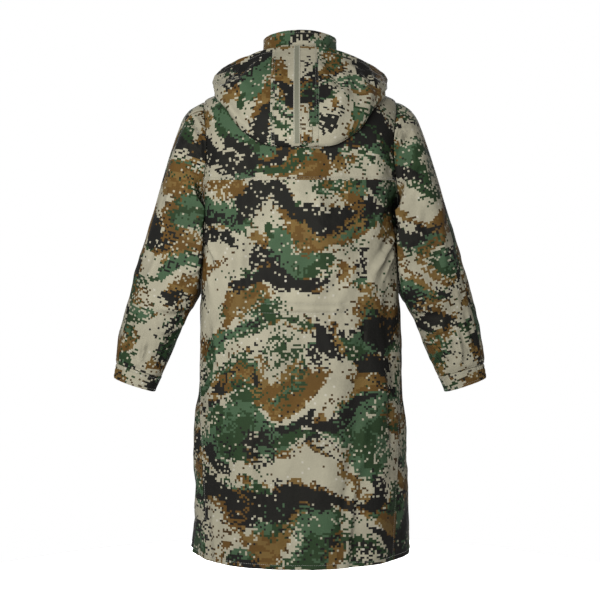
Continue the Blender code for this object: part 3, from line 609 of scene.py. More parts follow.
def sleeve_relief(side, cloth):
    """Creases of one sleeve and the gathers above its cuff. Nothing is raised where
    the sleeve lies against the torso."""
    turn, place = cloth["a"], cloth["b"]
    wanted = np.isin(SLEEVE_CREASES["side"], (0, side))
    creases = {column: values[wanted] for column, values in SLEEVE_CREASES.items()}
    total = creased(creases, SLEEVE_SCALE, turn, place)
    seed = 20 if side > 0 else 30
    around, run = turn * SLEEVE_SCALE[0], place * SLEEVE_SCALE[1]
    beside_seam = ramp(np.minimum(turn - TURNS["seam"], TURNS["end"] - turn), 0.0, 24.0)
    at_side = 0.45 + 0.55 * ramp(1 - np.abs(np.cos(np.radians(turn))), 0.05, 0.4)
    total += crumpled(around, run, 0.058, 0.0050, seed) * beside_seam * at_side
    fold = uneven(cloth["u"], cloth["v"], 0.040, 0.024, seed + 2)
    total += 0.0016 * fold * ramp(place, 5.5, 8.0) * ramp(-place, -11.0, -9.5)
    above = (SLEEVE_END - place) * SLEEVE_SCALE[1]
    total += gathers(turn, above, seed + 3)
    total *= ramp(place, 0.0, 0.5) * ramp(above, 0.0, 0.012)
    hugging = np.where(place < 5, 1.0, sleeve_sizes(place)["hug"])
    hugging *= ramp(-np.cos(np.radians(turn)), 0.05, 0.5)
    return np.where(total > 0, total * (1 - hugging), total)


def gathers(turn, above, seed):
    """Pleats above the cuff's seam, deepest over the elastic, and the roll of cloth
    that falls over the seam."""
    outer = 0.5 + 0.5 * np.cos(np.radians(turn))
    around = np.mod(turn, 360.0) / 360
    pleat = np.abs(uneven(around, above, 1 / 26, 0.035, seed)) ** 0.7 - 0.35
    finer = uneven(around, above, 1 / 44, 0.022, seed + 1)
    size = (0.0034 * outer + 0.0014) * np.exp(-((above / 0.040) ** 2))
    roll = 0.0042 * (0.55 + 0.45 * outer) * np.exp(-(((above - 0.009) / 0.008) ** 2))
    pinched = 1 - np.exp(-((above / 0.006) ** 2))
    return (size * (pleat + 0.5 * finer) + roll * (1 + 0.5 * pleat)) * pinched


def hood_relief(angle, place):
    """Creases of the hood's outer layer, and folds that spread from the neck below it."""
    along = np.clip((place - HOOD_UNDER_SHARE) / (1 - HOOD_UNDER_SHARE), 0, 1)
    total = creased(HOOD_CREASES, HOOD_SCALE, angle, along)
    total += crumpled(angle * HOOD_SCALE[0], along * HOOD_SCALE[1], 0.048, 0.0038, 41)
    total *= ramp(along, 0.0, 0.12) * (1 - 0.5 * ramp(along, 0.85, 1.0))
    under = ramp(place, 0.04, 0.12) * ramp(-place, -HOOD_UNDER_SHARE, 0.06 - HOOD_UNDER_SHARE)
    folds = uneven(angle * HOOD_SCALE[0], place * 0.3, 0.026, 0.090, 44)
    return total - under * (0.0030 + 0.0044 * folds)


# ------------------------------------------------------------------ cloth pieces


def stations(length, count):
    """Distances from 0 to each length: NEAR_EDGE at both ends and even between them."""
    length = np.asarray(length, float)[..., None]
    near = NEAR_EDGE * np.minimum(1.0, length / (4 * NEAR_EDGE[-1])) + SEWN_GAP
    last = near[..., -1:]
    even = last + (length - 2 * last) * np.linspace(0, 1, count)[1:-1]
    return np.concatenate([near, even, (length - near)[..., ::-1]], axis=-1)


def measured(points, axis):
    """Length run along a grid of points from its first row or column."""
    step = np.linalg.norm(np.diff(points, axis=axis), axis=-1)
    start = np.zeros_like(np.take(step, [0], axis=axis))
    return np.concatenate([start, np.cumsum(step, axis=axis)], axis=axis)


def middle_column(count):
    """The middle column of a panel laid out with this count."""
    return len(NEAR_EDGE) + (count - 2) // 2


def columns_between(surface, start, end, rows, count):
    """The first parameter on every row, placed by length between two edges."""
    share = np.linspace(0, 1, 241)
    samples = start[:, None] + (end - start)[:, None] * share
    run = measured(surface(samples, rows[:, None]), 1)
    at = stations(run[:, -1], count)
    return np.array([np.interp(a, r, s) for a, r, s in zip(at, run, samples)])


def rows_between(surface, columns, start, end, count):
    """The second parameter placed by the mean length of some columns."""
    samples = np.linspace(start, end, 481)
    run = measured(surface(np.asarray(columns, float)[None, :], samples[:, None]), 0)
    run = run.mean(axis=1)
    return np.interp(stations(run[-1], count), run, samples)


def with_edges(rows, edges):
    """Rows with more of them beside some edges, and none closer than a millimetre."""
    near = np.concatenate([edge + way * (NEAR_EDGE + SEWN_GAP) for edge, way in edges])
    near = near[(near > rows[0] + SEWN_GAP) & (near < rows[-1] - SEWN_GAP)]
    far = np.abs(rows[:, None] - near[None, :]).min(axis=1) > 0.0011
    far[[0, -1]] = True
    return np.sort(np.concatenate([rows[far], near]))


def laid_out(surface, outward, rows, ends, count, grain, anchor=(0, 0), fan=False):
    """A panel's grid between two ends, numbers or one for each row: base points, outward
    normals, distances from its four edges, and its cloth coordinates u across and v
    along the grain, in metres. The grain, a direction or a function of both parameters,
    is laid flat on the surface, and u and v add up each step's parts across and along
    it: first on the anchor's row, from the anchor, and then up and down every column. A
    fan starts instead from the lengths run from the anchor's column and the first row,
    and ends with that column upright. The panel is flattened in between."""
    start, end = (np.broadcast_to(np.asarray(at, float), rows.shape) for at in ends)
    a, b = grids(columns_between(surface, start, end, rows, count), rows[:, None])
    points = surface(a, b)
    out = normals(surface, a, b, outward)
    if callable(grain):
        grain = grain(a, b)
    grain = unit(grain - np.sum(grain * out, axis=-1, keepdims=True) * out)
    axes = np.stack([np.cross(out, grain), grain], axis=-2)
    row, column = anchor
    first = added_up(points[[row]], axes[[row]], 1)
    first = first - first[:, [column]]
    flat = added_up(points, axes, 0)
    run, length = measured(points, 1), measured(points, 0)
    guess = flat - flat[[row]] + first
    if fan:
        guess = np.stack([run - run[:, [column]], length], axis=-1)
    flat = flattened(points, guess)
    if fan:
        flat = upright(flat, column)
    return {
        "a": a, "b": b, "points": points, "out": out, "u": flat[..., 0], "v": flat[..., 1],
        "left": run, "right": run[:, -1:] - run,
        "top": length, "bottom": length[-1:] - length,
    }


def added_up(points, axes, along):
    """Parts of each step on two directions, added up along rows or columns."""
    step = np.diff(points, axis=along)
    between = (np.take(axes, range(1, axes.shape[along]), axis=along)
               + np.take(axes, range(axes.shape[along] - 1), axis=along))
    parts = np.einsum("rcx,rckx->rck", step, unit(between))
    start = np.zeros_like(np.take(parts, [0], axis=along))
    return np.concatenate([start, np.cumsum(parts, axis=along)], axis=along)


def flattened(points, flat, rounds=16, steps=30):
    """A panel laid flat with little stretch, from a first guess. Every cell is turned to
    lie as it does now, with its own lengths, and then the points are fitted to the
    turned cells by least squares with conjugate gradients. Flat points are held as
    complex numbers, and a cell counts by its shape. A fine grid starts from the same
    done with every fourth row and column."""
    if min(points.shape[:2]) > 24:
        kept = [np.unique(np.append(np.arange(0, n, 4), n - 1)) for n in points.shape[:2]]
        few = np.ix_(*kept)
        flat = filled_in(flattened(points[few], flat[few], 4 * rounds), kept, points.shape)
    across, down = np.diff(points, axis=1), np.diff(points, axis=0)
    wide, tall = across[:-1] + across[1:], down[:, :-1] + down[:, 1:]
    x = unit(wide)
    y = unit(tall - x * np.sum(tall * x, axis=-1, keepdims=True))
    shape = np.linalg.norm(tall, axis=-1) / np.linalg.norm(wide, axis=-1)
    weights = (shape, shape, 1 / shape, 1 / shape)
    z = flat[..., 0] + 1j * flat[..., 1]

    def sides(across, down):
        """The four edges of every cell: its two rows' steps and its two columns' steps."""
        return across[:-1], across[1:], down[:, :-1], down[:, 1:]

    def gathered(parts):
        """Values on the four edges of every cell, added up on the edges they share."""
        total_across = np.zeros(across.shape[:2], parts[0].dtype)
        total_down = np.zeros(down.shape[:2], parts[0].dtype)
        for total, part in zip(sides(total_across, total_down), parts):
            total += part
        return total_across, total_down

    def pull(along, up):
        """Values on edges, added at the end of each edge and taken off at its start."""
        total = np.zeros(z.shape, complex)
        total[:, 1:] += along
        total[:, :-1] -= along
        total[1:] += up
        total[:-1] -= up
        return total

    first = sides(np.diff(z, axis=1), np.diff(z, axis=0))
    handed = np.sign(np.sum((np.conj(first[0]) * first[2]).imag))
    lengths = [
        np.sum(edge * x, axis=-1) + 1j * handed * np.sum(edge * y, axis=-1)
        for edge in sides(across, down)
    ]
    stiff_across, stiff_down = gathered(weights)
    for _ in range(rounds):
        now = sides(np.diff(z, axis=1), np.diff(z, axis=0))
        turn = sum(w * n * np.conj(e) for w, n, e in zip(weights, now, lengths))
        turn /= np.abs(turn)
        rest = pull(*gathered([w * turn * e for w, e in zip(weights, lengths)]))
        rest -= pull(stiff_across * np.diff(z, axis=1), stiff_down * np.diff(z, axis=0))
        way, size = rest.copy(), np.sum(np.abs(rest) ** 2)
        for _ in range(steps):
            pulled = pull(stiff_across * np.diff(way, axis=1), stiff_down * np.diff(way, axis=0))
            share = size / max(np.sum((np.conj(way) * pulled).real), 1e-30)
            z = z + share * way
            rest -= share * pulled
            after = np.sum(np.abs(rest) ** 2)
            way, size = rest + after / max(size, 1e-30) * way, after
    return np.stack([z.real, z.imag], axis=-1)


def upright(flat, column):
    """A flat panel turned until the lower half of one column runs straight along v."""
    run = flat[-1, column] - flat[len(flat) // 2, column]
    along = run / np.hypot(*run)
    return flat @ np.array([[along[1], along[0]], [-along[0], along[1]]])


def filled_in(values, kept, shape):
    """A coarse grid's values blended evenly over the rows and columns left out of it."""
    for at, count in zip(kept, shape):
        every = np.arange(count)
        low = np.clip(np.searchsorted(at, every, side="right") - 1, 0, len(at) - 2)
        share = ((every - at[low]) / (at[low + 1] - at[low]))[:, None, None]
        values = (values[low] * (1 - share) + values[low + 1] * share).transpose(1, 0, 2)
    return values


def grid_normals(points, like):
    """Normals of a grid from the slopes along its rows and columns, on the side of
    the given normals."""
    facing = unit(np.cross(np.gradient(points, axis=0), np.gradient(points, axis=1)))
    return facing * np.sign(np.sum(facing * like, axis=-1, keepdims=True))


def closed_mesh(name, outer, inner, uv):
    """A wall between two grids as quads: the outer face, the inner face turned round,
    and the rim. The inner face takes the second material."""
    rows, columns = outer.shape[:2]
    index = np.arange(rows * columns).reshape(rows, columns)
    quads = np.stack([index[:-1, :-1], index[:-1, 1:], index[1:, 1:], index[1:, :-1]], axis=-1)
    quads = quads.reshape(-1, 4)
    edge = np.concatenate([index[0], index[1:, -1], index[-1, -2::-1], index[-2::-1, 0]])
    inside = rows * columns
    rim = np.stack([edge[1:], edge[:-1], edge[:-1] + inside, edge[1:] + inside], axis=-1)
    faces = np.concatenate([quads, quads[:, ::-1] + inside, rim])
    finish = np.zeros(len(faces), np.int32)
    finish[len(quads) : 2 * len(quads)] = 1
    points = np.concatenate([outer.reshape(-1, 3), inner.reshape(-1, 3)])
    corners = points[faces]
    if np.linalg.det(corners[:, :3]).sum() + np.linalg.det(corners[:, [0, 2, 3]]).sum() < 0:
        faces = faces[:, ::-1]
    uv = uv.reshape(-1, 2)
    return quad_mesh(name, points, faces, np.concatenate([uv, uv]), finish)


def quad_mesh(name, points, faces, uv=None, finish=None):
    """A mesh from arrays of points and of faces with one number of corners."""
    corners = faces.shape[1]
    mesh = bpy.data.meshes.new(name)
    mesh.vertices.add(len(points))
    mesh.vertices.foreach_set("co", np.ascontiguousarray(points, np.float32).ravel())
    mesh.loops.add(faces.size)
    mesh.loops.foreach_set("vertex_index", np.ascontiguousarray(faces, np.int32).ravel())
    mesh.polygons.add(len(faces))
    mesh.polygons.foreach_set("loop_start", np.arange(0, faces.size, corners, dtype=np.int32))
    if finish is not None:
        mesh.polygons.foreach_set("material_index", finish)
    mesh.update(calc_edges=True)
    if uv is not None:
        layer = mesh.uv_layers.new(name="cloth")
        layer.uv.foreach_set("vector", uv[faces.ravel()].astype(np.float32).ravel())
    if mesh.validate():
        raise RuntimeError(f"{name} has faulty faces")
    return mesh


def add_piece(name, mesh, finishes, slot, *nodes):
    """Puts a mesh in the scene as a piece that rides on the coat."""
    piece = bpy.data.objects.new(name, mesh)
    bpy.context.scene.collection.objects.link(piece)
    for finish in finishes:
        mesh.materials.append(finish)
    mesh.shade_smooth()
    mesh.set_sharp_from_angle(angle=math.radians(50))
    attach(piece, "coat")
    if nodes:
        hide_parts(*nodes)
    return piece


# The finished panels, with the outer faces that the stitching is laid on.
DRESSED = {}


def body_grain(lean):
    """Straight down on the body, turned level on the shoulders towards back or front."""

    def grain(angle, down):
        """Down from 0.20 m on, and above it leaning more and more up to 0.06 m."""
        level = 1 - ramp(down, 0.06, 0.20)
        return np.stack([0 * level, lean * level, -1 + 0.4 * level], axis=-1)

    return grain


def hood_grain(angle, place):
    """Down and back on the hood, by the cosine of the angle round the neck."""
    lean = np.cos(np.radians(angle))
    return np.stack([0 * lean, 0.7 * lean, -1 + 0 * lean], axis=-1)


def fit_cloth(
    name, node_name, cloth, relief, finishes, shift, thickness,
    slot="camouflage_cloth", side="",
):
    """A cloth panel: its grid moved out by the relief and walled. One for the wearer's right
    is worked out on the left and mirrored. shift is where it was cut from the printed
    cloth, across and down."""
    if side == "right":
        cloth = {**cloth, "points": cloth["points"] * MIRROR, "out": cloth["out"] * MIRROR}
    outer = cloth["points"] + cloth["out"] * relief[..., None]
    facing = grid_normals(outer, cloth["out"])
    inner = outer - facing * thickness
    uv = np.stack([cloth["u"], cloth["v"]], axis=-1)
    mesh = closed_mesh(name, outer, inner, uv + np.array(shift))
    piece = add_piece(name, mesh, finishes, slot, node_name)
    DRESSED[name] = {**cloth, "outer": outer, "facing": facing}


def armhole_downs():
    """Rows of the armhole, from its top to its foot, even in turn round it."""
    return ARMHOLE_MIDDLE - ARMHOLE_HALF * np.cos(np.linspace(0, math.pi, ARMHOLE_STEPS + 1))


def zip_angle(across, down):
    """Angle round the torso of the line at a distance across from centre front."""
    return 180 - np.degrees(across / smooth(TORSO, "half_width", np.asarray(down, float)))


def make_back(sizes, finishes):
    """Back yoke, lapped over the back panel below it."""
    downs = armhole_downs()
    seam_row = downs[YOKE_STEP]
    rows = np.concatenate([np.linspace(NECK, SHOULDER, 24), downs[1 : YOKE_STEP + 1]])
    rows = with_edges(rows, ((seam_row, -1), (NECK, 1)))
    cloth = back_grid(rows, -1)
    relief = torso_relief(cloth) * sizes.crease_share
    relief += topstitched(cloth, "bottom", 101) + 0.0006 * np.exp(-cloth["bottom"] / 0.006)
    relief += seam(cloth, "left", 102) + seam(cloth, "right", 103) + dip(cloth["top"], 0.001, 0.002)
    fit_cloth(
        "yoke_cloth", "back_yoke", cloth, relief, finishes, (0.0, 0.0), sizes.cloth
    )
    top = seam_row - YOKE_LAP
    rows = np.concatenate([[top], downs[YOKE_STEP:], np.linspace(UNDERARM, HEM, 172)[1:]])
    rows = with_edges(rows, ((top, 1), (HEM, -1), (WAIST, 1), (WAIST, -1)))
    cloth = back_grid(rows, 0)
    relief = torso_relief(cloth) * sizes.crease_share
    relief += seam(cloth, "top", 104) + hemmed(cloth, "bottom", 105)
    relief += dip(cloth["top"], 0.0013, 0.0110)
    relief += topstitched(cloth, "left", 106) + topstitched(cloth, "right", 107)
    fit_cloth("back_cloth", "back_panel", cloth, relief, finishes, (-0.29, -1.44), sizes.cloth)


def back_grid(rows, anchor_row):
    """The grid of a back panel over both sides, anchored in the middle of a row."""
    edge, count = edge_angle(rows, "back"), 104
    anchor = (anchor_row, middle_column(count))
    return laid_out(torso, 1, rows, (-edge, edge), count, body_grain(1.0), anchor)


def make_fronts(sizes, finishes):
    """Both fronts, from the neck seam to the hem and from the zip to the side seam."""
    rows = np.concatenate([
        np.linspace(NECK, SHOULDER, 18), armhole_downs()[1:], np.linspace(UNDERARM, HEM, 160)[1:],
    ])
    rows = with_edges(rows, ((HEM, -1), (NECK, 1)))
    below = ramp(rows, UNDERARM, UNDERARM + 0.02)
    inner, outer = zip_angle(ZIP_HALF_GAP, rows), edge_angle(rows, "front") - SIDE_LAP * below
    chest = np.abs(rows - UNDERARM).argmin()
    for side, way, seed in (("left", 1.0, 110), ("right", -1.0, 120)):
        ends = (way * inner, way * outer)
        cloth = laid_out(torso, 1, rows, ends, 52, body_grain(-1.0), (chest, 0))
        relief = torso_relief(cloth) * sizes.crease_share
        relief += hemmed(cloth, "bottom", seed) * ramp(cloth["left"], 0.0, 0.02)
        relief += topstitched(cloth, "left", seed + 1) + seam(cloth, "right", seed + 2)
        relief += dip(cloth["right"], 0.0010, 0.0060) * below[:, None]
        relief += dip(cloth["top"], 0.001, 0.002)
        fit_cloth(
            f"front_cloth_{side}", f"front_{side}", cloth, relief, finishes,
            (0.93 * way, 0.17), sizes.cloth,
        )


# Where some panels were cut from the printed cloth, across and down it.
SMALL_PRINT = (0.205, -1.305)
SLEEVE_PRINT = {
    ("back", "left"): (0.48, 0.05),
    ("front", "left"): (0.58, 0.64),
    ("back", "right"): (-0.40, 0.18),
    ("front", "right"): (-0.16, 0.64),
}


def make_sleeve(side, way, sizes, finishes):
    """Back and front panels of one sleeve."""
    rows = rows_between(sleeve, ROUND, 0.0, SLEEVE_END, 138)
    tube = np.abs(rows - TUBE_PLACE).argmin()
    grain = np.array([0.248, 0.0, -0.969])
    for half, ends, count, column, seed, stitched, plain in (
        ("back", (TURNS["seam"], TURNS["underarm"]), 46, 0, 130, "left", "right"),
        ("front", (TURNS["underarm"], TURNS["end"]), 66, -1, 140, "right", "left"),
    ):
        cloth = laid_out(sleeve, -1, rows, ends, count, grain, (tube, column))
        relief = sleeve_relief(way, cloth) * sizes.crease_share
        seed += 0 if way > 0 else 5
        relief += seam(cloth, stitched, seed) + seam(cloth, plain, seed + 1)
        relief += seam(cloth, "top", seed + 2) + dip(cloth["bottom"], 0.0014, 0.0030)
        fit_cloth(
            f"sleeve_{half}_cloth_{side}", f"sleeve_{half}_{side}", cloth, relief, finishes,
            SLEEVE_PRINT[half, side], sizes.cloth, side=side,
        )


def make_cuff(side, way, sizes, finishes):
    """The flat band and the gathered elastic part of one cuff. Their top rows are tucked
    into the sleeve, and distances from the top are measured from the seam."""
    rows = np.append(CUFF_TUCK, rows_between(cuff, ROUND, 0.0, 1.0, 8))
    grain = np.array([0.37, 0.0, -0.93])
    seam_row = len(CUFF_TUCK)
    lapped = ELASTIC_REACH + CUFF_LAP
    seed = 150 if way > 0 else 160
    for part, ends, count, slot, shift in (
        ("band", (ELASTIC_REACH, 360 - ELASTIC_REACH), 84, "camouflage_cloth", (0.5 * way, 0.9)),
        ("elastic", (-lapped, lapped), 150, "dark_elastic", SMALL_PRINT),
    ):
        cloth = laid_out(cuff, -1, rows, ends, count, grain, (seam_row, 0))
        cloth["top"] = np.maximum(cloth["top"] - cloth["top"][seam_row], 0.0)
        if part == "band":
            relief = 0.0008 * uneven(cloth["u"], cloth["v"], 0.030, 0.030, seed)
            relief += topstitched(cloth, "top", seed + 1, CUFF_LINE)
            relief += topstitched(cloth, "bottom", seed + 2, CUFF_LINE)
            relief += dip(cloth["left"], 0.0006, 0.002) + dip(cloth["right"], 0.0006, 0.002)
        else:
            relief = ribbed(cloth, seed)
        relief -= CUFF_TUCKED * ramp(-cloth["b"], 0.0, -CUFF_TUCK[-1])
        fit_cloth(
            f"cuff_{part}_cloth_{side}", f"cuff_{part}_{side}", cloth, relief, finishes, shift,
            sizes.double_cloth, slot, side,
        )


def ribbed(cloth, seed):
    """Gathered cloth over elastic: narrow rounded ribs of uneven width, which two rows
    of stitches pull in."""
    u, v, top, ends = cloth["u"], cloth["v"], cloth["top"], nearer(cloth, "left", "right")
    rib = np.abs(np.sin(np.pi * (u + 0.0012 * uneven(u, v, 0.012, 0.02, seed)) / 0.0062)) ** 0.8
    size = 0.0022 * (1 + 0.4 * uneven(u, v, 0.008, 0.03, seed + 1)) * ramp(ends, 0.002, 0.006)
    rows = groove(top, 0.011, 0.0008, 0.0016) + groove(top, 0.022, 0.0008, 0.0016)
    edges = dip(top, 0.0014, 0.003) + dip(cloth["bottom"], 0.0014, 0.003)
    return size * (rib - 0.5) + rows + edges + dip(ends, 0.0018, 0.0045)


def make_collar(sizes, finishes):
    """The stand collar of doubled cloth, on the neck seam and open at the zip."""
    rows = rows_between(collar, (0, 90, -90), 0.0, 1.0, 12)
    end = float(zip_angle(ZIP_HALF_GAP, NECK))
    cloth = laid_out(collar, -1, rows, (-end, end), 130, np.array([0.0, 0.0, -1.0]))
    cloth["points"] = cloth["points"] + np.array([0.0, 0.0, LAID_GAP])
    relief = 0.0010 * uneven(cloth["u"], cloth["v"], 0.045, 0.05, 171)
    relief += 0.0005 * uneven(cloth["u"], cloth["v"], 0.016, 0.03, 172)
    relief *= ramp(cloth["left"], 0.0, 0.02) * ramp(cloth["right"], 0.0, 0.02)
    relief += topstitched(cloth, "top", 173, COLLAR_LINE) + topstitched(cloth, "bottom", 174)
    relief += dip(cloth["left"], 0.0006, 0.0012) + dip(cloth["right"], 0.0006, 0.0012)
    fit_cloth(
        "collar_cloth", "collar", cloth, relief, finishes, (0.15, 1.30), sizes.double_cloth
    )


def softened(points, middle, reach, passes):
    """Rounds the fold of a grid: rows near it are averaged 1-2-1 with their
    neighbours a number of times."""
    points = points.copy()
    for _ in range(passes):
        near = points[middle - reach - 1 : middle + reach + 2]
        points[middle - reach : middle + reach + 1] = (near[:-2] + 2 * near[1:-1] + near[2:]) / 4
    return points


def make_hood(sizes, finishes):
    """Side panels and centre strip of the open hood, from the neck seam down over the
    shoulders, round the bottom fold and up to the face edge."""
    under = np.linspace(0, HOOD_UNDER_SHARE, 24, endpoint=False)
    outer = rows_between(hood, (0, 40, -40, 90), HOOD_UNDER_SHARE, 1.0, 58)
    rows = np.concatenate([under, outer])
    for part, ends, count, column, seed, shift in (
        ("left", (HOOD_END, HOOD_STRIP_LEFT - STRIP_LAP), 100, -1, 181, (-0.51, -1.51)),
        ("centre", (HOOD_STRIP_LEFT, HOOD_STRIP_RIGHT), 36, 18, 185, (0.05, 0.83)),
        ("right", (HOOD_STRIP_RIGHT + STRIP_LAP, -HOOD_END), 100, 0, 189, (0.59, -1.12)),
    ):
        cloth = laid_out(hood, -1, rows, ends, count, hood_grain, (0, column), fan=True)
        # 0 under the tape, the strap and the patch, so that they lie flat
        clear = np.minimum(ramp(cloth["a"], 3.6, 9.0) + ramp(-cloth["a"], 6.6, 9.4), 1.0)
        detail = hemmed(cloth, "bottom", seed, HOOD_HEM_LINE)
        if part == "centre":
            detail = detail * clear + raised_strip(cloth, "left") + raised_strip(cloth, "right")
        else:
            joined, free = ("right", "left") if part == "left" else ("left", "right")
            detail += seam(cloth, joined, seed + 1) + hemmed(cloth, free, seed + 2)
        relief = hood_relief(cloth["a"], cloth["b"]) * clear * sizes.crease_share
        relief += detail * ramp(cloth["b"], HOOD_UNDER_SHARE, HOOD_UNDER_SHARE + 0.04)
        cloth["points"] = softened(cloth["points"], len(under), 5, 6)
        fit_cloth(
            f"hood_{part}_cloth", f"hood_{part}", cloth, relief, finishes, shift, sizes.cloth,
        )


def raised_strip(cloth, side):
    """The felled edge of the centre strip: a raised band between two stitched lines."""
    distance = cloth[side]
    band = 0.0008 * (1 - ramp(distance, 0.0070, 0.0090))
    for at in STRIP_LINES:
        band = band + groove(distance, at)
    return band + dip(distance, 0.0007, 0.0009)


def make_strip(name, ends, top, lift, count, finishes, shape, slot="camouflage_cloth"):
    """A flat strip sewn on the hood between two angles, up to a share of the outer
    layer's height, with its relief worked out by shape(cloth)."""
    places = (HOOD_UNDER_SHARE + (1 - HOOD_UNDER_SHARE) * height for height in (STRAP_LOW, top))
    rows = rows_between(hood, ends, *places, count)
    anchor = (0, middle_column(10))
    cloth = laid_out(hood, -1, rows, ends, 10, np.array([0.0, 0.5, -1.0]), anchor)
    fit_cloth(
        f"{name}_cloth", name, cloth, lift + shape(cloth), finishes, SMALL_PRINT, TRIM, slot,
    )


def tape_shape(cloth):
    """A woven tape: two thin selvedges and a rounded middle."""
    across = nearer(cloth, "left", "right")
    return groove(across, 0.0022, 0.0004, 0.0007) + dip(across, 0.0005, 0.0007)


def strap_shape(cloth):
    """A folded strap: rounded edges and a stitched line inside each."""
    across, along = nearer(cloth, "left", "right"), nearer(cloth, "top", "bottom")
    edges = dip(across, 0.0007, 0.0009) + dip(along, 0.0005, 0.001)
    return groove(across, STRAP_LINE, 0.0005, 0.0008) + edges


def chain(rows, heights, across):
    """A line beside the zip's middle, from the collar's top to the hem: points and
    outward normals on the cloth's face."""
    heights, rows = np.asarray(heights)[:, None], np.asarray(rows)[:, None]
    above, below = zip_angle(across, NECK)[None, :], zip_angle(across, rows)
    out_above = normals(collar, above, heights, -1)
    out_below = normals(torso, below, rows, 1)
    points = np.concatenate([collar(above, heights), torso(below, rows)])
    out = np.concatenate([out_above, out_below])
    back = np.repeat((COLLAR_WALL, FRONT_WALL), (len(heights), len(rows))) + ZIP_TAPE_GAP
    return points - out * back[:, None, None], out


def make_zip(sizes, tape, metal):
    """Both zip tapes with their teeth, and the finish of the hard pieces."""
    across = np.array([TOOTH_HALF_GAP, 0.0028, 0.0042, ZIP_HALF_GAP, 0.0100, 0.0140, ZIP_TAPE_EDGE])
    outer, out = chain(np.linspace(NECK, HEM, 260), np.linspace(1, 0, 9), across)
    run = measured(outer, 0)
    uv = np.stack([np.broadcast_to(across, run.shape), run], axis=-1)
    for side, way in (("left", np.ones(3)), ("right", MIRROR)):
        name = f"zip_cloth_{side}"
        mesh = closed_mesh(name, outer * way, (outer - out * TRIM) * way, uv)
        piece = add_piece(name, mesh, tape, "olive_zip_tape", f"zip_tape_{side}")
        make_teeth(side, way, sizes, metal)
    for hard in ("zip_slider", "zip_pull", "zip_box"):
        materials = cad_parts[hard].data.materials
        materials.clear()
        materials.append(metal[0])


# Where the teeth stop short of the tapes' ends, and their line beside the zip's middle.
TEETH_TOP, TEETH_FOOT, TEETH_ACROSS = 0.004, 0.013, 0.0008
# One side of a zip tooth: metres across and out, and a share of the pitch.
TOOTH = np.array([
    (-0.0012, -0.0002, -0.30), (0.0016, -0.0002, -0.45), (0.0022, 0.0006, -0.45),
    (0.0022, 0.0013, -0.45), (0.0014, 0.0019, -0.45), (-0.0006, 0.0019, -0.30),
    (-0.0014, 0.0011, -0.30),
])


def make_teeth(side, way, sizes, metal):
    """A row of teeth on one tape: the same small block carried along its edge, each
    side half a pitch from the other."""
    line, out = chain(np.linspace(NECK, HEM, 600), np.linspace(1, 0, 40), np.array([TEETH_ACROSS]))
    line, out = line[:, 0], out[:, 0]
    run = measured(line, 0)
    start = 0.0 if side == "left" else sizes.tooth_pitch / 2
    at = np.arange(TEETH_TOP + start, run[-1] - TEETH_FOOT, sizes.tooth_pitch)
    middle, facing, ahead = along_line(line, out, run, at)
    block = np.concatenate([TOOTH, TOOTH * (1, 1, -1)]) * (1, 1, sizes.tooth_pitch)
    sides = len(TOOTH)
    faces = [(k, (k + 1) % sides, sides + (k + 1) % sides) for k in range(sides)]
    faces += [(k, sides + (k + 1) % sides, sides + k) for k in range(sides)]
    faces += [(0, k + 1, k) for k in range(1, sides - 1)]
    faces += [(sides, sides + k, sides + k + 1) for k in range(1, sides - 1)]
    across = np.cross(facing, ahead)
    across = across * np.sign(across[:, :1])
    points = copies(block, middle, across, facing, ahead) * way
    faces = repeated(np.array(faces), len(block), len(at))
    if way[0] < 0:
        faces = faces[:, ::-1]
    add_hard(f"zip_teeth_{side}", points, faces, metal, "dark_zip_metal")


def along_line(line, out, run, at):
    """Points, outward normals and directions at these lengths along a line."""
    middle = np.stack([np.interp(at, run, line[:, k]) for k in range(3)], axis=-1)
    facing = unit(np.stack([np.interp(at, run, out[:, k]) for k in range(3)], axis=-1))
    slope = np.gradient(line, axis=0)
    ahead = np.stack([np.interp(at, run, slope[:, k]) for k in range(3)], axis=-1)
    ahead = unit(ahead - facing * np.sum(ahead * facing, axis=-1, keepdims=True))
    return middle, facing, ahead


def copies(block, middle, across, facing, ahead):
    """A block's points carried to each place, on the three directions there."""
    axes = np.stack([across, facing, ahead], axis=1)
    return (middle[:, None, :] + np.einsum("pk,nkc->npc", block, axes)).reshape(-1, 3)


def repeated(faces, points, times):
    """A block's faces for every copy of it."""
    return (faces[None] + points * np.arange(times)[:, None, None]).reshape(-1, faces.shape[1])


def add_hard(name, points, faces, finishes, slot):
    """A piece of many small closed blocks, which have to have a volume."""
    if np.linalg.det(points[faces[:36]]).sum() == 0:
        raise RuntimeError(f"{name} has no volume")
    return add_piece(name, quad_mesh(name, points, faces), finishes, slot)


def stitch_block(length, thickness):
    """One stitch as a rounded five-sided bar, longest along its last direction."""
    turn = np.radians(np.arange(5) * 72.0)
    rings = []
    for share, radius in ((-1.0, 0.4), (-0.7, 1.0), (0.7, 1.0), (1.0, 0.4)):
        x, y = np.cos(turn) * radius * thickness / 2, np.sin(turn) * radius * thickness / 2
        rings.append(np.stack([x, y, np.full(5, share * length / 2)], axis=-1))
    k = np.arange(5)
    ahead = (k + 1) % 5
    faces = []
    for r in range(3):
        low, high = 5 * r, 5 * (r + 1)
        faces.append(np.stack([low + k, low + ahead, high + ahead], axis=-1))
        faces.append(np.stack([low + k, high + ahead, high + k], axis=-1))
    fan = np.stack([np.zeros(3, int), np.arange(2, 5), np.arange(1, 4)], axis=-1)
    faces += [fan, 15 + fan[:, ::-1]]
    return np.concatenate(rings), np.concatenate(faces)


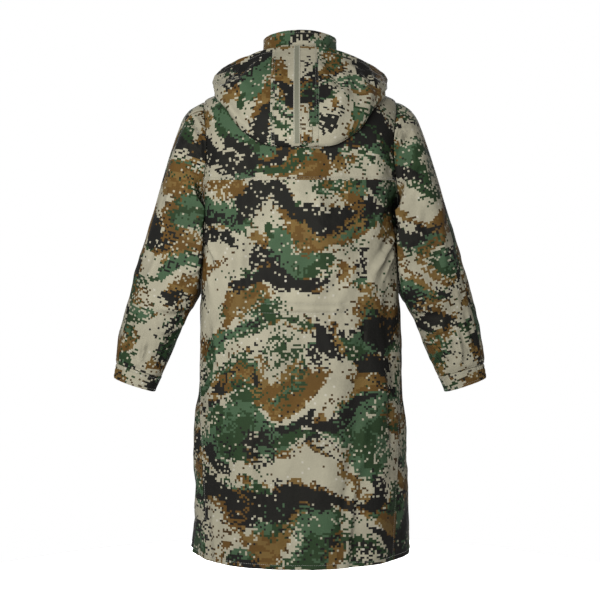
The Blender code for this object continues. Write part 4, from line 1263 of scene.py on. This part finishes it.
def line_beside(cloth, side, distance):
    """The line on a panel's face at a distance from one of its edges, by blending
    between the two grid points on either side of it."""
    run, outer, facing = cloth[side], cloth["outer"], cloth["facing"]
    if side in ("left", "right"):
        run, outer, facing = run.T, outer.transpose(1, 0, 2), facing.transpose(1, 0, 2)
    order = slice(None) if run[0, 0] < run[-1, 0] else slice(None, None, -1)
    run, outer, facing = run[order], outer[order], facing[order]
    row = (run > distance).argmax(axis=0)
    column = np.arange(run.shape[1])
    keep = (row > 0) & (run[-1] > 3 * distance)
    row, column = row[keep], column[keep]
    before, after = run[row - 1, column], run[row, column]
    share = ((distance - before) / (after - before))[:, None]
    line = outer[row - 1, column] * (1 - share) + outer[row, column] * share
    return line, unit(facing[row - 1, column] * (1 - share) + facing[row, column] * share)


def stitches(lines, sizes):
    """Points and faces of the stitches of several lines, at an even pitch."""
    block, block_faces = stitch_block(sizes.stitch_length, sizes.thread)
    places = []
    for line, out in lines:
        run = measured(line, 0)
        at = np.arange(sizes.stitch_pitch / 2, run[-1], sizes.stitch_pitch)
        if len(at):
            places.append(along_line(line, out, run, at))
    middle, facing, ahead = (np.concatenate(part) for part in zip(*places))
    middle = middle + facing * sizes.thread * 0.3
    across = np.cross(facing, ahead)
    points = copies(block, middle, across, facing, ahead)
    return points, repeated(block_faces, len(block), len(middle))


# ------------------------------------------------------------------ finishes


def node(tree, kind, inputs=None, output=0, **settings):
    """Adds a shader node, sets or links its inputs, and returns one of its outputs."""
    made = tree.nodes.new(f"ShaderNode{kind}")
    for key, value in settings.items():
        setattr(made, key, value)
    for key, value in (inputs or {}).items():
        put(tree, made.inputs[key], value)
    return made.outputs[output]


def put(tree, socket, value):
    """Links an output to a socket, or sets the socket to a value."""
    if isinstance(value, bpy.types.NodeSocket):
        tree.links.new(value, socket)
    else:
        socket.default_value = value


def finish_material(name, **inputs):
    """A new material and its node tree, with these values on its shader's sockets."""
    made = bpy.data.materials.new(name)
    made.use_nodes = True
    dress(made.node_tree, **inputs)
    return made, made.node_tree


def dress(tree, **inputs):
    """Sets or links sockets of a material's shader, with _ for spaces in their names."""
    shader = tree.nodes["Principled BSDF"]
    for name, value in inputs.items():
        put(tree, shader.inputs[name.replace("_", " ")], value)


def maths(tree, operation, *values):
    """One arithmetic node."""
    return node(tree, "Math", dict(enumerate(values)), operation=operation)


def vectors(tree, operation, inputs):
    """One arithmetic node for vectors."""
    return node(tree, "VectorMath", inputs, operation=operation)


def mixed(tree, share, first, second):
    """A blend of two colours, on the colour sockets A and B, which are numbers 6 and 7."""
    return node(tree, "Mix", {"Factor": share, 6: first, 7: second}, 2, data_type="RGBA")


def dimmed(colour, factor):
    """A colour times a factor."""
    return tuple(min(1.0, factor * part) for part in colour[:3]) + (1.0,)


def cloth_place(tree):
    """Cloth coordinates in metres."""
    return node(tree, "UVMap", uv_map="cloth")


def object_place(tree):
    """Object coordinates in metres, the node's fourth output."""
    return node(tree, "TexCoord", output=3)


def snapped(tree, place, width, height):
    """Cloth coordinates stepped to the corner of the printed square they are in."""
    return vectors(tree, "SNAP", {0: place, 1: (width, height, 1.0)})


def blotches(tree, place, size, stretch, shift, detail=2.0, output=0):
    """A noise field with patches of about this size in metres, wider than tall."""
    scale = (1 / (size * stretch), 1 / size, 1.0)
    stretched = vectors(tree, "MULTIPLY_ADD", {0: place, 1: scale, 2: (*shift, 0.0)})
    inputs = {"Vector": stretched, "Scale": 1.0, "Detail": detail, "Roughness": 0.5}
    return node(tree, "TexNoise", inputs, output, noise_dimensions="2D")


def speckle(tree, place, shift):
    """A separate random value for each printed square."""
    moved = vectors(tree, "ADD", {0: place, 1: (*shift, 0.0)})
    return node(tree, "TexWhiteNoise", {"Vector": moved}, noise_dimensions="2D")


def scattered(tree, place, shift, size):
    """A random value for each square, cubed so that few squares stray far."""
    value = maths(tree, "MULTIPLY_ADD", speckle(tree, place, shift), 2.0, -1.0)
    return maths(tree, "MULTIPLY", maths(tree, "POWER", value, 3.0), size)


def noise(tree, place, scale, roughness, **settings):
    """A noise field of three octaves."""
    inputs = {"Vector": place, "Scale": scale, "Detail": 3.0, "Roughness": roughness}
    return node(tree, "TexNoise", inputs, **settings)


def bumped(tree, height, strength, distance, **inputs):
    """A normal bent by a height field."""
    inputs = {"Height": height, "Strength": strength, "Distance": distance, **inputs}
    return node(tree, "Bump", inputs)


def woven_bump(tree, place, pitch, depth, creases):
    """Bump of a plain weave over small soft wrinkles: two crossed waves and a noise."""
    waves = {"Vector": place, "Scale": 0.5 / pitch}
    warp, weft = (node(tree, "TexWave", waves, 1, bands_direction=way) for way in "XY")
    wrinkle = noise(tree, place, 95.0, 0.55, noise_dimensions="2D")
    fine = bumped(tree, maths(tree, "MULTIPLY", warp, weft), 0.25, depth)
    return bumped(tree, wrinkle, 0.8, creases, Normal=fine)


# Noise fields of the print: a patch's height in metres, its width against its height,
# and where the field starts.
PRINT_FIELDS = {
    "brown": (0.088, 1.15, (11.3, 2.9)),
    "green": (0.093, 1.45, (4.7, 21.3)),
    "charcoal": (0.078, 1.6, (17.9, 33.1)),
    "ochre": (0.040, 1.4, (31.3, 12.1)),
    "deep": (0.060, 1.2, (23.9, 41.7)),
}
OCHRE_ABOVE, DEEP_ABOVE, PALE_ABOVE, FLECK_ABOVE = 0.52, 0.50, 0.985, 0.992
PRINT_RIM = 0.012  # how far under its threshold a smooth field is where the rim starts
SWIRL, SWIRL_SIZE = 0.16, 0.16  # how far the fields are bent, and over what distance


def camouflage_finish(colours, sizes):
    """Printed cloth in four colours: each colour has its own noise field on a grid of
    squares, with a random value added in each square, and shows above a threshold."""
    made, tree = finish_material(
        "printed_cloth", Specular_IOR_Level=0.04, Specular_Tint=(1.0, 0.97, 0.72, 1.0)
    )
    uv = cloth_place(tree)
    cell = sizes.print_square
    square = snapped(tree, uv, cell, cell)
    chunk = snapped(tree, uv, 2 * cell, cell)
    ragged = maths(
        tree, "ADD",
        scattered(tree, square, (3.1, 7.7), 0.110), scattered(tree, chunk, (1.3, 5.9), 0.075),
    )
    swirl = blotches(tree, square, SWIRL_SIZE, 1.0, (5.3, 2.1), 1.0, 1)
    bent = vectors(tree, "MULTIPLY_ADD", {0: swirl, 1: (SWIRL, SWIRL, 0.0), 2: square})

    def above(field, threshold):
        """1 where a field is over a threshold, and 0 elsewhere."""
        return maths(tree, "GREATER_THAN", field, threshold)

    def patch(field, threshold):
        """The same, with the field made ragged by a random value in each square."""
        return above(maths(tree, "ADD", field, ragged), threshold)

    def inside(field, threshold):
        """1 where the smooth field is nearly over it. The rest of a patch is its rim."""
        return above(field, maths(tree, "SUBTRACT", threshold, PRINT_RIM))

    brown_field = blotches(tree, bent, *PRINT_FIELDS["brown"])
    green_field = blotches(tree, bent, *PRINT_FIELDS["green"])
    lean = maths(tree, "MULTIPLY", maths(tree, "SUBTRACT", green_field, 0.5), 0.45)
    charcoal_field = maths(tree, "ADD", blotches(tree, bent, *PRINT_FIELDS["charcoal"]), lean)
    brown = patch(brown_field, colours.brown_above)
    green = patch(green_field, colours.green_above)
    charcoal = patch(charcoal_field, colours.charcoal_above)
    ochre = patch(blotches(tree, bent, *PRINT_FIELDS["ochre"]), OCHRE_ABOVE)
    deep = patch(blotches(tree, bent, *PRINT_FIELDS["deep"]), DEEP_ABOVE)
    pale = above(speckle(tree, square, (9.2, 1.4)), PALE_ABOVE)
    fleck = above(speckle(tree, square, (2.2, 8.4)), FLECK_ABOVE)

    colour = mixed(tree, pale, colours.sand, colours.pale)
    soil = mixed(tree, ochre, colours.brown, colours.ochre)
    soil = mixed(tree, inside(brown_field, colours.brown_above), colours.deep_brown, soil)
    colour = mixed(tree, brown, colour, soil)
    leaf = mixed(tree, deep, colours.green, colours.deep_green)
    leaf = mixed(tree, inside(green_field, colours.green_above), colours.deep_green, leaf)
    colour = mixed(tree, green, colour, leaf)
    both = maths(tree, "MAXIMUM", brown, green)
    colour = mixed(tree, maths(tree, "MULTIPLY", both, pale), colour, colours.sand)
    colour = mixed(tree, charcoal, colour, colours.charcoal)
    colour = mixed(tree, maths(tree, "MULTIPLY", fleck, both), colour, colours.charcoal)
    # Painted shade: soft patches about 9 cm across darken and lighten the print by up to a quarter,
    # standing in for the shading of uneven cloth; the same field sets the roughness.
    shade = blotches(tree, uv, 0.09, 1.0, (7.0, 7.0), 3.0)
    dress(
        tree, Base_Color=mottled_tone_and_shade(tree, colour, shade),
        Roughness=maths(tree, "MULTIPLY_ADD", shade, 0.16, 0.70),
        Normal=woven_bump(tree, uv, 0.0011, 0.00008, 0.0015),
    )
    return made


def mottled_tone_and_shade(tree, colour, shade):
    """A colour times a noise field, from a quarter darker to a quarter lighter: painted shade of
    uneven cloth on the printed cloth, and random colour changes on the tapes.
    """
    tone = maths(tree, "MULTIPLY_ADD", shade, 0.50, 0.75)
    return vectors(tree, "SCALE", {0: colour, "Scale": tone})


def coating_finish(colours):
    """The plain coated inner side of the cloth."""
    made, tree = finish_material("cloth_coating", Specular_IOR_Level=0.3, Sheen_Weight=0.05)
    uv = cloth_place(tree)
    shade = blotches(tree, uv, 0.05, 1.0, (2.0, 3.0), 3.0)
    dress(
        tree, Base_Color=mixed(tree, shade, dimmed(colours.coating, 0.8), colours.coating),
        Roughness=maths(tree, "MULTIPLY_ADD", shade, 0.2, 0.38),
        Normal=woven_bump(tree, uv, 0.0011, 0.00006, 0.0005),
    )
    return made


def tape_finish(name, middle, edge, ribs, middle_band=None):
    """Woven tape: cross ribs and small colour changes. A middle band, given by its
    middle and half width across the cloth, leaves lighter selvedges."""
    made, tree = finish_material(name, Specular_IOR_Level=0.2, Sheen_Weight=0.1)
    uv = cloth_place(tree)
    shade = share = blotches(tree, uv, 0.004, 1.0, (1.0, 2.0), 3.0)
    if middle_band:
        across = maths(tree, "SUBTRACT", node(tree, "SeparateXYZ", {0: uv}), middle_band[0])
        share = maths(tree, "GREATER_THAN", maths(tree, "ABSOLUTE", across), middle_band[1])
    dress(
        tree, Base_Color=mottled_tone_and_shade(tree, mixed(tree, share, middle, edge), shade),
        Roughness=maths(tree, "MULTIPLY_ADD", shade, 0.2, 0.7),
        Normal=woven_bump(tree, uv, ribs, 0.00015, 0.0001),
    )
    return made


def metal_finish(colours):
    """Dark plated metal, brushed unevenly and rubbed a little."""
    made, tree = finish_material("plated_zip_metal", Metallic=1.0)
    rubbed = noise(tree, object_place(tree), 420.0, 0.6)
    span = {"From Min": 0.55, "From Max": 0.75, "To Min": 0.0, "To Max": 0.5}
    worn = node(tree, "MapRange", {"Value": rubbed, **span})
    dress(
        tree, Base_Color=mixed(tree, worn, colours.metal, dimmed(colours.metal, 2.2)),
        Roughness=maths(tree, "MULTIPLY_ADD", rubbed, 0.3, 0.2),
        Normal=bumped(tree, rubbed, 0.3, 0.0001),
    )
    return made


def thread_finish(colours):
    """Twisted sewing thread: slanted stripes that are lighter and darker."""
    made, tree = finish_material("sewing_thread", Roughness=0.6, Sheen_Weight=0.2)
    inputs = {"Vector": object_place(tree), "Scale": 900.0, "Distortion": 1.0}
    twist = node(tree, "TexWave", inputs, 1, bands_direction="DIAGONAL")
    dress(
        tree, Base_Color=mixed(tree, twist, dimmed(colours.thread, 0.65), colours.thread),
        Normal=bumped(tree, twist, 0.4, 0.0001),
    )
    return made


def once(name, make):
    """The material of this name, made the first time that it is asked for."""
    return bpy.data.materials.get(name) or make()


def cloth_finishes(coat):
    """The printed side and the coated side of the cloth."""
    return [
        once("printed_cloth", lambda: camouflage_finish(coat.colours, coat.sizes)),
        once("cloth_coating", lambda: coating_finish(coat.colours)),
    ]


# ------------------------------------------------------------------ settings


def number(name, description, default, **settings):
    """A number that a user can change."""
    return FloatProperty(name=name, description=description, default=default, **settings)


def length(name, description, default):
    """A length that a user can change."""
    return number(name, description, default, min=0.0, precision=5, unit="LENGTH")


def share(name, description, default):
    """A number from 0 to 1 that a user can change."""
    return number(name, description, default, min=0.0, max=1.0)


def colour(name, description, *default):
    """A colour that a user can change."""
    return FloatVectorProperty(
        name=name, description=description, default=(*default, 1.0), size=4, min=0.0,
        max=1.0, subtype="COLOR",
    )


class WindbreakerSizes(bpy.types.PropertyGroup):
    """Sizes of the cloth, its print, its stitches and the zip's teeth."""

    cloth: length("Cloth", "Thickness of a panel with its facing", 0.0014)
    double_cloth: length("Double cloth", "Thickness of the collar and the cuffs", 0.0026)
    crease_share: number("Creases", "Height of the creases against the tables", 1.0, min=0.0, max=1.5)
    print_square: length("Printed square", "Side of the smallest printed square", 0.0044)
    stitch_length: length("Stitch", "Length of one stitch", 0.0026)
    stitch_pitch: length("Stitch pitch", "Distance from one stitch to the next", 0.0040)
    thread: length("Thread", "Thickness of the sewing thread", 0.0006)
    tooth_pitch: length("Tooth pitch", "Distance from one zip tooth to the next", 0.0025)


class WindbreakerColours(bpy.types.PropertyGroup):
    """Colours of the print, the trim and the zip, and how far each print colour spreads."""

    sand: colour("Sand", "Ground colour of the print", 0.0575, 0.0535, 0.0395)
    pale: colour("Pale sand", "Scattered light squares", 0.0730, 0.0690, 0.0570)
    green: colour("Green", "Lighter part of the green patches", 0.0078, 0.0148, 0.0078)
    deep_green: colour("Deep green", "Darker part of the green patches", 0.0028, 0.0064, 0.0026)
    brown: colour("Brown", "Darker part of the brown patches", 0.0168, 0.0087, 0.0021)
    deep_brown: colour("Deep brown", "Squares round the brown patches", 0.0082, 0.0046, 0.0016)
    ochre: colour("Ochre", "Lighter part of the brown patches", 0.0240, 0.0145, 0.0043)
    charcoal: colour("Charcoal", "Darkest patches", 0.0013, 0.0013, 0.0014)
    brown_above: share("Brown above", "Field value above which the brown shows", 0.516)
    green_above: share("Green above", "Field value above which the green shows", 0.539)
    charcoal_above: share("Charcoal above", "Field value above which the charcoal shows", 0.592)
    coating: colour("Coating", "Inner side of the cloth", 0.0125, 0.0130, 0.0100)
    tape: colour("Tape", "Middle of the tape on the hood", 0.0216, 0.0216, 0.0130)
    tape_edge: colour("Tape edge", "Selvedges of the tape on the hood", 0.053, 0.050, 0.036)
    zip_tape: colour("Zip tape", "Woven tape of the zip", 0.016, 0.018, 0.011)
    metal: colour("Metal", "Teeth, slider and pull tab", 0.120, 0.110, 0.095)
    thread: colour("Thread", "Sewing thread", 0.019, 0.018, 0.012)


class WindbreakerStage(bpy.types.PropertyGroup):
    """Camera, lights and floor."""

    camera_distance: length("Camera distance", "From the coat's middle to the camera", 2.4)
    camera_height: number("Camera height", "Height of the camera over the nape", -0.515, unit="LENGTH")
    lens: number("Lens", "Focal length in millimetres", 64.0, min=1.0, unit="CAMERA")
    floor: number("Floor", "Height of the floor over the nape", -1.36, unit="LENGTH")
    key_power: number("Main light", "Power of the light behind the coat", 143.0, min=0.0, unit="POWER")
    fill_power: number(
        "Other lights", "A third of the front one's power, twice each side one's", 44.0, min=0.0,
        unit="POWER",
    )
    sky: number("Surroundings", "Brightness of the white surroundings", 1.0, min=0.0)


class Windbreaker(bpy.types.PropertyGroup):
    """Everything that a user would change about the coat and its stage."""

    sizes: PointerProperty(type=WindbreakerSizes)
    colours: PointerProperty(type=WindbreakerColours)
    stage: PointerProperty(type=WindbreakerStage)


# ------------------------------------------------------------------ operators


class MakeTorso(bpy.types.Operator):
    """Yoke, back panel and both fronts"""

    bl_idname = "windbreaker.torso"
    bl_label = "Torso"

    def execute(self, context):
        coat = context.scene.windbreaker
        make_back(coat.sizes, cloth_finishes(coat))
        make_fronts(coat.sizes, cloth_finishes(coat))
        return {"FINISHED"}


class MakeSleeves(bpy.types.Operator):
    """Both sleeves, each of a back and a front panel"""

    bl_idname = "windbreaker.sleeves"
    bl_label = "Sleeves"

    def execute(self, context):
        coat = context.scene.windbreaker
        for side, way in SIDES:
            make_sleeve(side, way, coat.sizes, cloth_finishes(coat))
        return {"FINISHED"}


class MakeCuffs(bpy.types.Operator):
    """Both cuffs, each a flat band and a part gathered over elastic"""

    bl_idname = "windbreaker.cuffs"
    bl_label = "Cuffs"

    def execute(self, context):
        coat = context.scene.windbreaker
        for side, way in SIDES:
            make_cuff(side, way, coat.sizes, cloth_finishes(coat))
        return {"FINISHED"}


class MakeCollar(bpy.types.Operator):
    """The stand collar"""

    bl_idname = "windbreaker.collar"
    bl_label = "Collar"

    def execute(self, context):
        coat = context.scene.windbreaker
        make_collar(coat.sizes, [cloth_finishes(coat)[0]] * 2)
        return {"FINISHED"}


class MakeHood(bpy.types.Operator):
    """The open hood's side panels and centre strip"""

    bl_idname = "windbreaker.hood"
    bl_label = "Hood"

    def execute(self, context):
        coat = context.scene.windbreaker
        make_hood(coat.sizes, cloth_finishes(coat))
        return {"FINISHED"}


class MakeHoodTrim(bpy.types.Operator):
    """The tape, the strap and its patch on the hood's centre strip"""

    bl_idname = "windbreaker.hood_trim"
    bl_label = "Hood trim"

    def execute(self, context):
        coat = context.scene.windbreaker
        colours, cloth, lift = coat.colours, cloth_finishes(coat), LAID_GAP + TRIM
        name, band = "woven_hood_tape", (SMALL_PRINT[0], TAPE_BAND)
        tape = once(name, lambda: tape_finish(name, colours.tape, colours.tape_edge, 0.0010, band))
        ends = (TAPE_LEFT, TAPE_RIGHT)
        make_strip("hood_tape", ends, 1.0, lift, 60, [tape, tape], tape_shape, "khaki_tape")
        ends = (TAPE_RIGHT, STRAP_RIGHT)
        make_strip("hood_strap", ends, STRAP_HIGH, lift, 30, cloth, strap_shape)
        ends = (TAPE_RIGHT, PATCH_RIGHT)
        make_strip("hood_patch", ends, PATCH_HIGH, 2 * lift, 16, cloth, strap_shape)
        return {"FINISHED"}


class MakeZip(bpy.types.Operator):
    """The zip's tapes and teeth, and the finish of its slider, pull tab and box"""

    bl_idname = "windbreaker.zip"
    bl_label = "Zip"

    def execute(self, context):
        coat = context.scene.windbreaker
        colours, name = coat.colours, "woven_zip_tape"
        tape = once(name, lambda: tape_finish(name, colours.zip_tape, colours.tape, 0.0008))
        metal = once("plated_zip_metal", lambda: metal_finish(colours))
        make_zip(coat.sizes, [tape, tape], [metal])
        return {"FINISHED"}


# Lines of stitches: the panel, its edge, and the distance of the line from the edge.
STITCH_LINES = (
    ("yoke_cloth", "bottom", EDGE_LINE),
    ("yoke_cloth", "bottom", LAP_LINE),
    ("back_cloth", "left", LAP_LINE),
    ("back_cloth", "right", LAP_LINE),
    ("back_cloth", "bottom", HEM_LINE),
    ("front_cloth_left", "bottom", HEM_LINE),
    ("front_cloth_right", "bottom", HEM_LINE),
    ("front_cloth_left", "left", LAP_LINE),
    ("front_cloth_right", "left", LAP_LINE),
    ("collar_cloth", "top", COLLAR_LINE),
    ("collar_cloth", "bottom", LAP_LINE),
    *(("hood_centre_cloth", edge, at) for edge in ("left", "right") for at in STRIP_LINES),
    ("hood_left_cloth", "bottom", HOOD_HEM_LINE),
    ("hood_right_cloth", "bottom", HOOD_HEM_LINE),
    ("hood_tape_cloth", "left", TAPE_LINE),
    ("hood_tape_cloth", "right", TAPE_LINE),
    ("hood_strap_cloth", "left", STRAP_LINE),
    ("hood_strap_cloth", "right", STRAP_LINE),
    *(("hood_patch_cloth", edge, STRAP_LINE) for edge in ("left", "right", "top", "bottom")),
    *((f"cuff_band_cloth_{side}", edge, CUFF_LINE) for side, _ in SIDES for edge in ("top", "bottom")),
)


class MakeStitching(bpy.types.Operator):
    """Topstitching along the seams, hems and trim, and across the waist casing"""

    bl_idname = "windbreaker.stitching"
    bl_label = "Stitching"

    def execute(self, context):
        coat = context.scene.windbreaker
        if not DRESSED:
            raise RuntimeError("make the panels before their stitching")
        lines = [line_beside(DRESSED[name], side, at) for name, side, at in STITCH_LINES]
        lines += waist_lines(DRESSED["back_cloth"])
        points, faces = stitches(lines, coat.sizes)
        thread = once("sewing_thread", lambda: thread_finish(coat.colours))
        add_hard("stitching", points, faces, [thread], "camouflage_cloth")
        return {"FINISHED"}


def waist_lines(cloth):
    """The two stitched rows of the waist casing, on the grid's nearest rows."""
    lines = []
    for down in (WAIST_CASING["down"][0], WAIST_CASING["down"][-1]):
        row = np.abs(cloth["b"][:, 0] - down).argmin()
        inside = (cloth["a"][row] > WAIST_RIGHT) & (cloth["a"][row] < WAIST_LEFT)
        lines.append((cloth["outer"][row, inside], cloth["facing"][row, inside]))
    return lines


class MakeStage(bpy.types.Operator):
    """Pale floor, white surroundings, soft lights and the camera"""

    bl_idname = "windbreaker.stage"
    bl_label = "Stage"

    def execute(self, context):
        scene = context.scene
        stage = scene.windbreaker.stage
        scene.view_settings.view_transform = "Standard"
        make_floor(stage.floor)
        world = bpy.data.worlds.new("white_surroundings")
        world.use_nodes = True
        sky = world.node_tree.nodes["Background"]
        sky.inputs["Color"].default_value = (1.0, 1.0, 1.0, 1.0)
        sky.inputs["Strength"].default_value = stage.sky
        scene.world = world
        soft_light("key", stage.key_power, 0.8, (0.42, 1.45, -0.22))
        soft_light("front", stage.fill_power * 3, 2.2, (0.0, -1.8, 0.75))
        soft_light("left", stage.fill_power / 2, 1.6, (1.6, -1.0, 0.6))
        soft_light("right", stage.fill_power / 2, 1.6, (-1.6, -1.0, 0.6))
        data = bpy.data.cameras.new("camera")
        data.lens, data.sensor_width = stage.lens, 36.0
        data.clip_start, data.clip_end = 0.05, 50.0
        camera = bpy.data.objects.new("camera", data)
        camera.location = (0.0, stage.camera_distance, stage.camera_height)
        camera.rotation_euler = (math.radians(90), 0.0, math.radians(180))
        scene.collection.objects.link(camera)
        scene.camera = camera
        return {"FINISHED"}


def make_floor(height):
    """A large round floor, a fan of rings about the coat."""
    turn = np.linspace(0, 2 * math.pi, FLOOR_SIDES, endpoint=False)[None]
    radius = np.array(FLOOR_RINGS)[:, None]
    x, y = radius * np.cos(turn), radius * np.sin(turn)
    points = np.stack([x, y, np.full_like(x, height)], axis=-1).reshape(-1, 3)
    here = np.arange(len(points)).reshape(x.shape)
    ahead = np.roll(here, -1, axis=1)
    quads = np.stack([here[1:], ahead[1:], ahead[:-1], here[:-1]], axis=-1).reshape(-1, 4)
    fan = np.stack([here[0], ahead[0], np.full(FLOOR_SIDES, len(points))], axis=-1)
    mesh = bpy.data.meshes.new("floor")
    mesh.from_pydata([*points.tolist(), (0.0, 0.0, height)], [], quads.tolist() + fan.tolist())
    made, tree = finish_material("pale_floor", Roughness=0.9)
    inputs = {"Vector": object_place(tree), "Scale": 2.0, "Detail": 2.0}
    grain = node(tree, "TexNoise", inputs)
    dress(tree, Base_Color=mixed(tree, grain, (0.93, 0.93, 0.93, 1.0), (0.96, 0.96, 0.96, 1.0)))
    mesh.materials.append(made)
    floor = bpy.data.objects.new("floor", mesh)
    bpy.context.scene.collection.objects.link(floor)


def soft_light(name, power, size, place):
    """A square soft light at a place, turned towards the lit point."""
    data = bpy.data.lights.new(name, "AREA")
    data.energy, data.size = power, size
    light = bpy.data.objects.new(name, data)
    light.location = place
    way = Vector(LIT_POINT) - Vector(place)
    light.rotation_euler = way.to_track_quat("-Z", "Y").to_euler()
    bpy.context.scene.collection.objects.link(light)


class WindbreakerPanel(bpy.types.Panel):
    """Lists the coat's pieces and settings"""

    bl_idname = "VIEW3D_PT_windbreaker"
    bl_label = "Windbreaker"
    bl_space_type = "VIEW_3D"
    bl_region_type = "UI"
    bl_category = "Windbreaker"

    def draw(self, context):
        coat = context.scene.windbreaker
        for step in STEPS:
            self.layout.operator(step.bl_idname)
        for group in (coat.sizes, coat.colours, coat.stage):
            column = self.layout.column(align=True)
            for name in group.__annotations__:
                column.prop(group, name)


STEPS = (
    MakeTorso, MakeSleeves, MakeCuffs, MakeCollar, MakeHood, MakeHoodTrim, MakeZip,
    MakeStitching, MakeStage,
)
CLASSES = (
    WindbreakerSizes, WindbreakerColours, WindbreakerStage, Windbreaker, *STEPS,
    WindbreakerPanel,
)


def register():
    """Adds the classes and the coat's settings to Blender."""
    for each in CLASSES:
        bpy.utils.register_class(each)
    bpy.types.Scene.windbreaker = PointerProperty(type=Windbreaker)


def unregister():
    """Takes them out again, in reverse order."""
    del bpy.types.Scene.windbreaker
    for each in reversed(CLASSES):
        bpy.utils.unregister_class(each)


def main():
    """Makes the coat and its stage."""
    register()
    bpy.ops.windbreaker.torso()
    bpy.ops.windbreaker.sleeves()
    bpy.ops.windbreaker.cuffs()
    bpy.ops.windbreaker.collar()
    bpy.ops.windbreaker.hood()
    bpy.ops.windbreaker.hood_trim()
    bpy.ops.windbreaker.zip()
    bpy.ops.windbreaker.stitching()
    bpy.ops.windbreaker.stage()


if __name__ == "__main__":
    main()
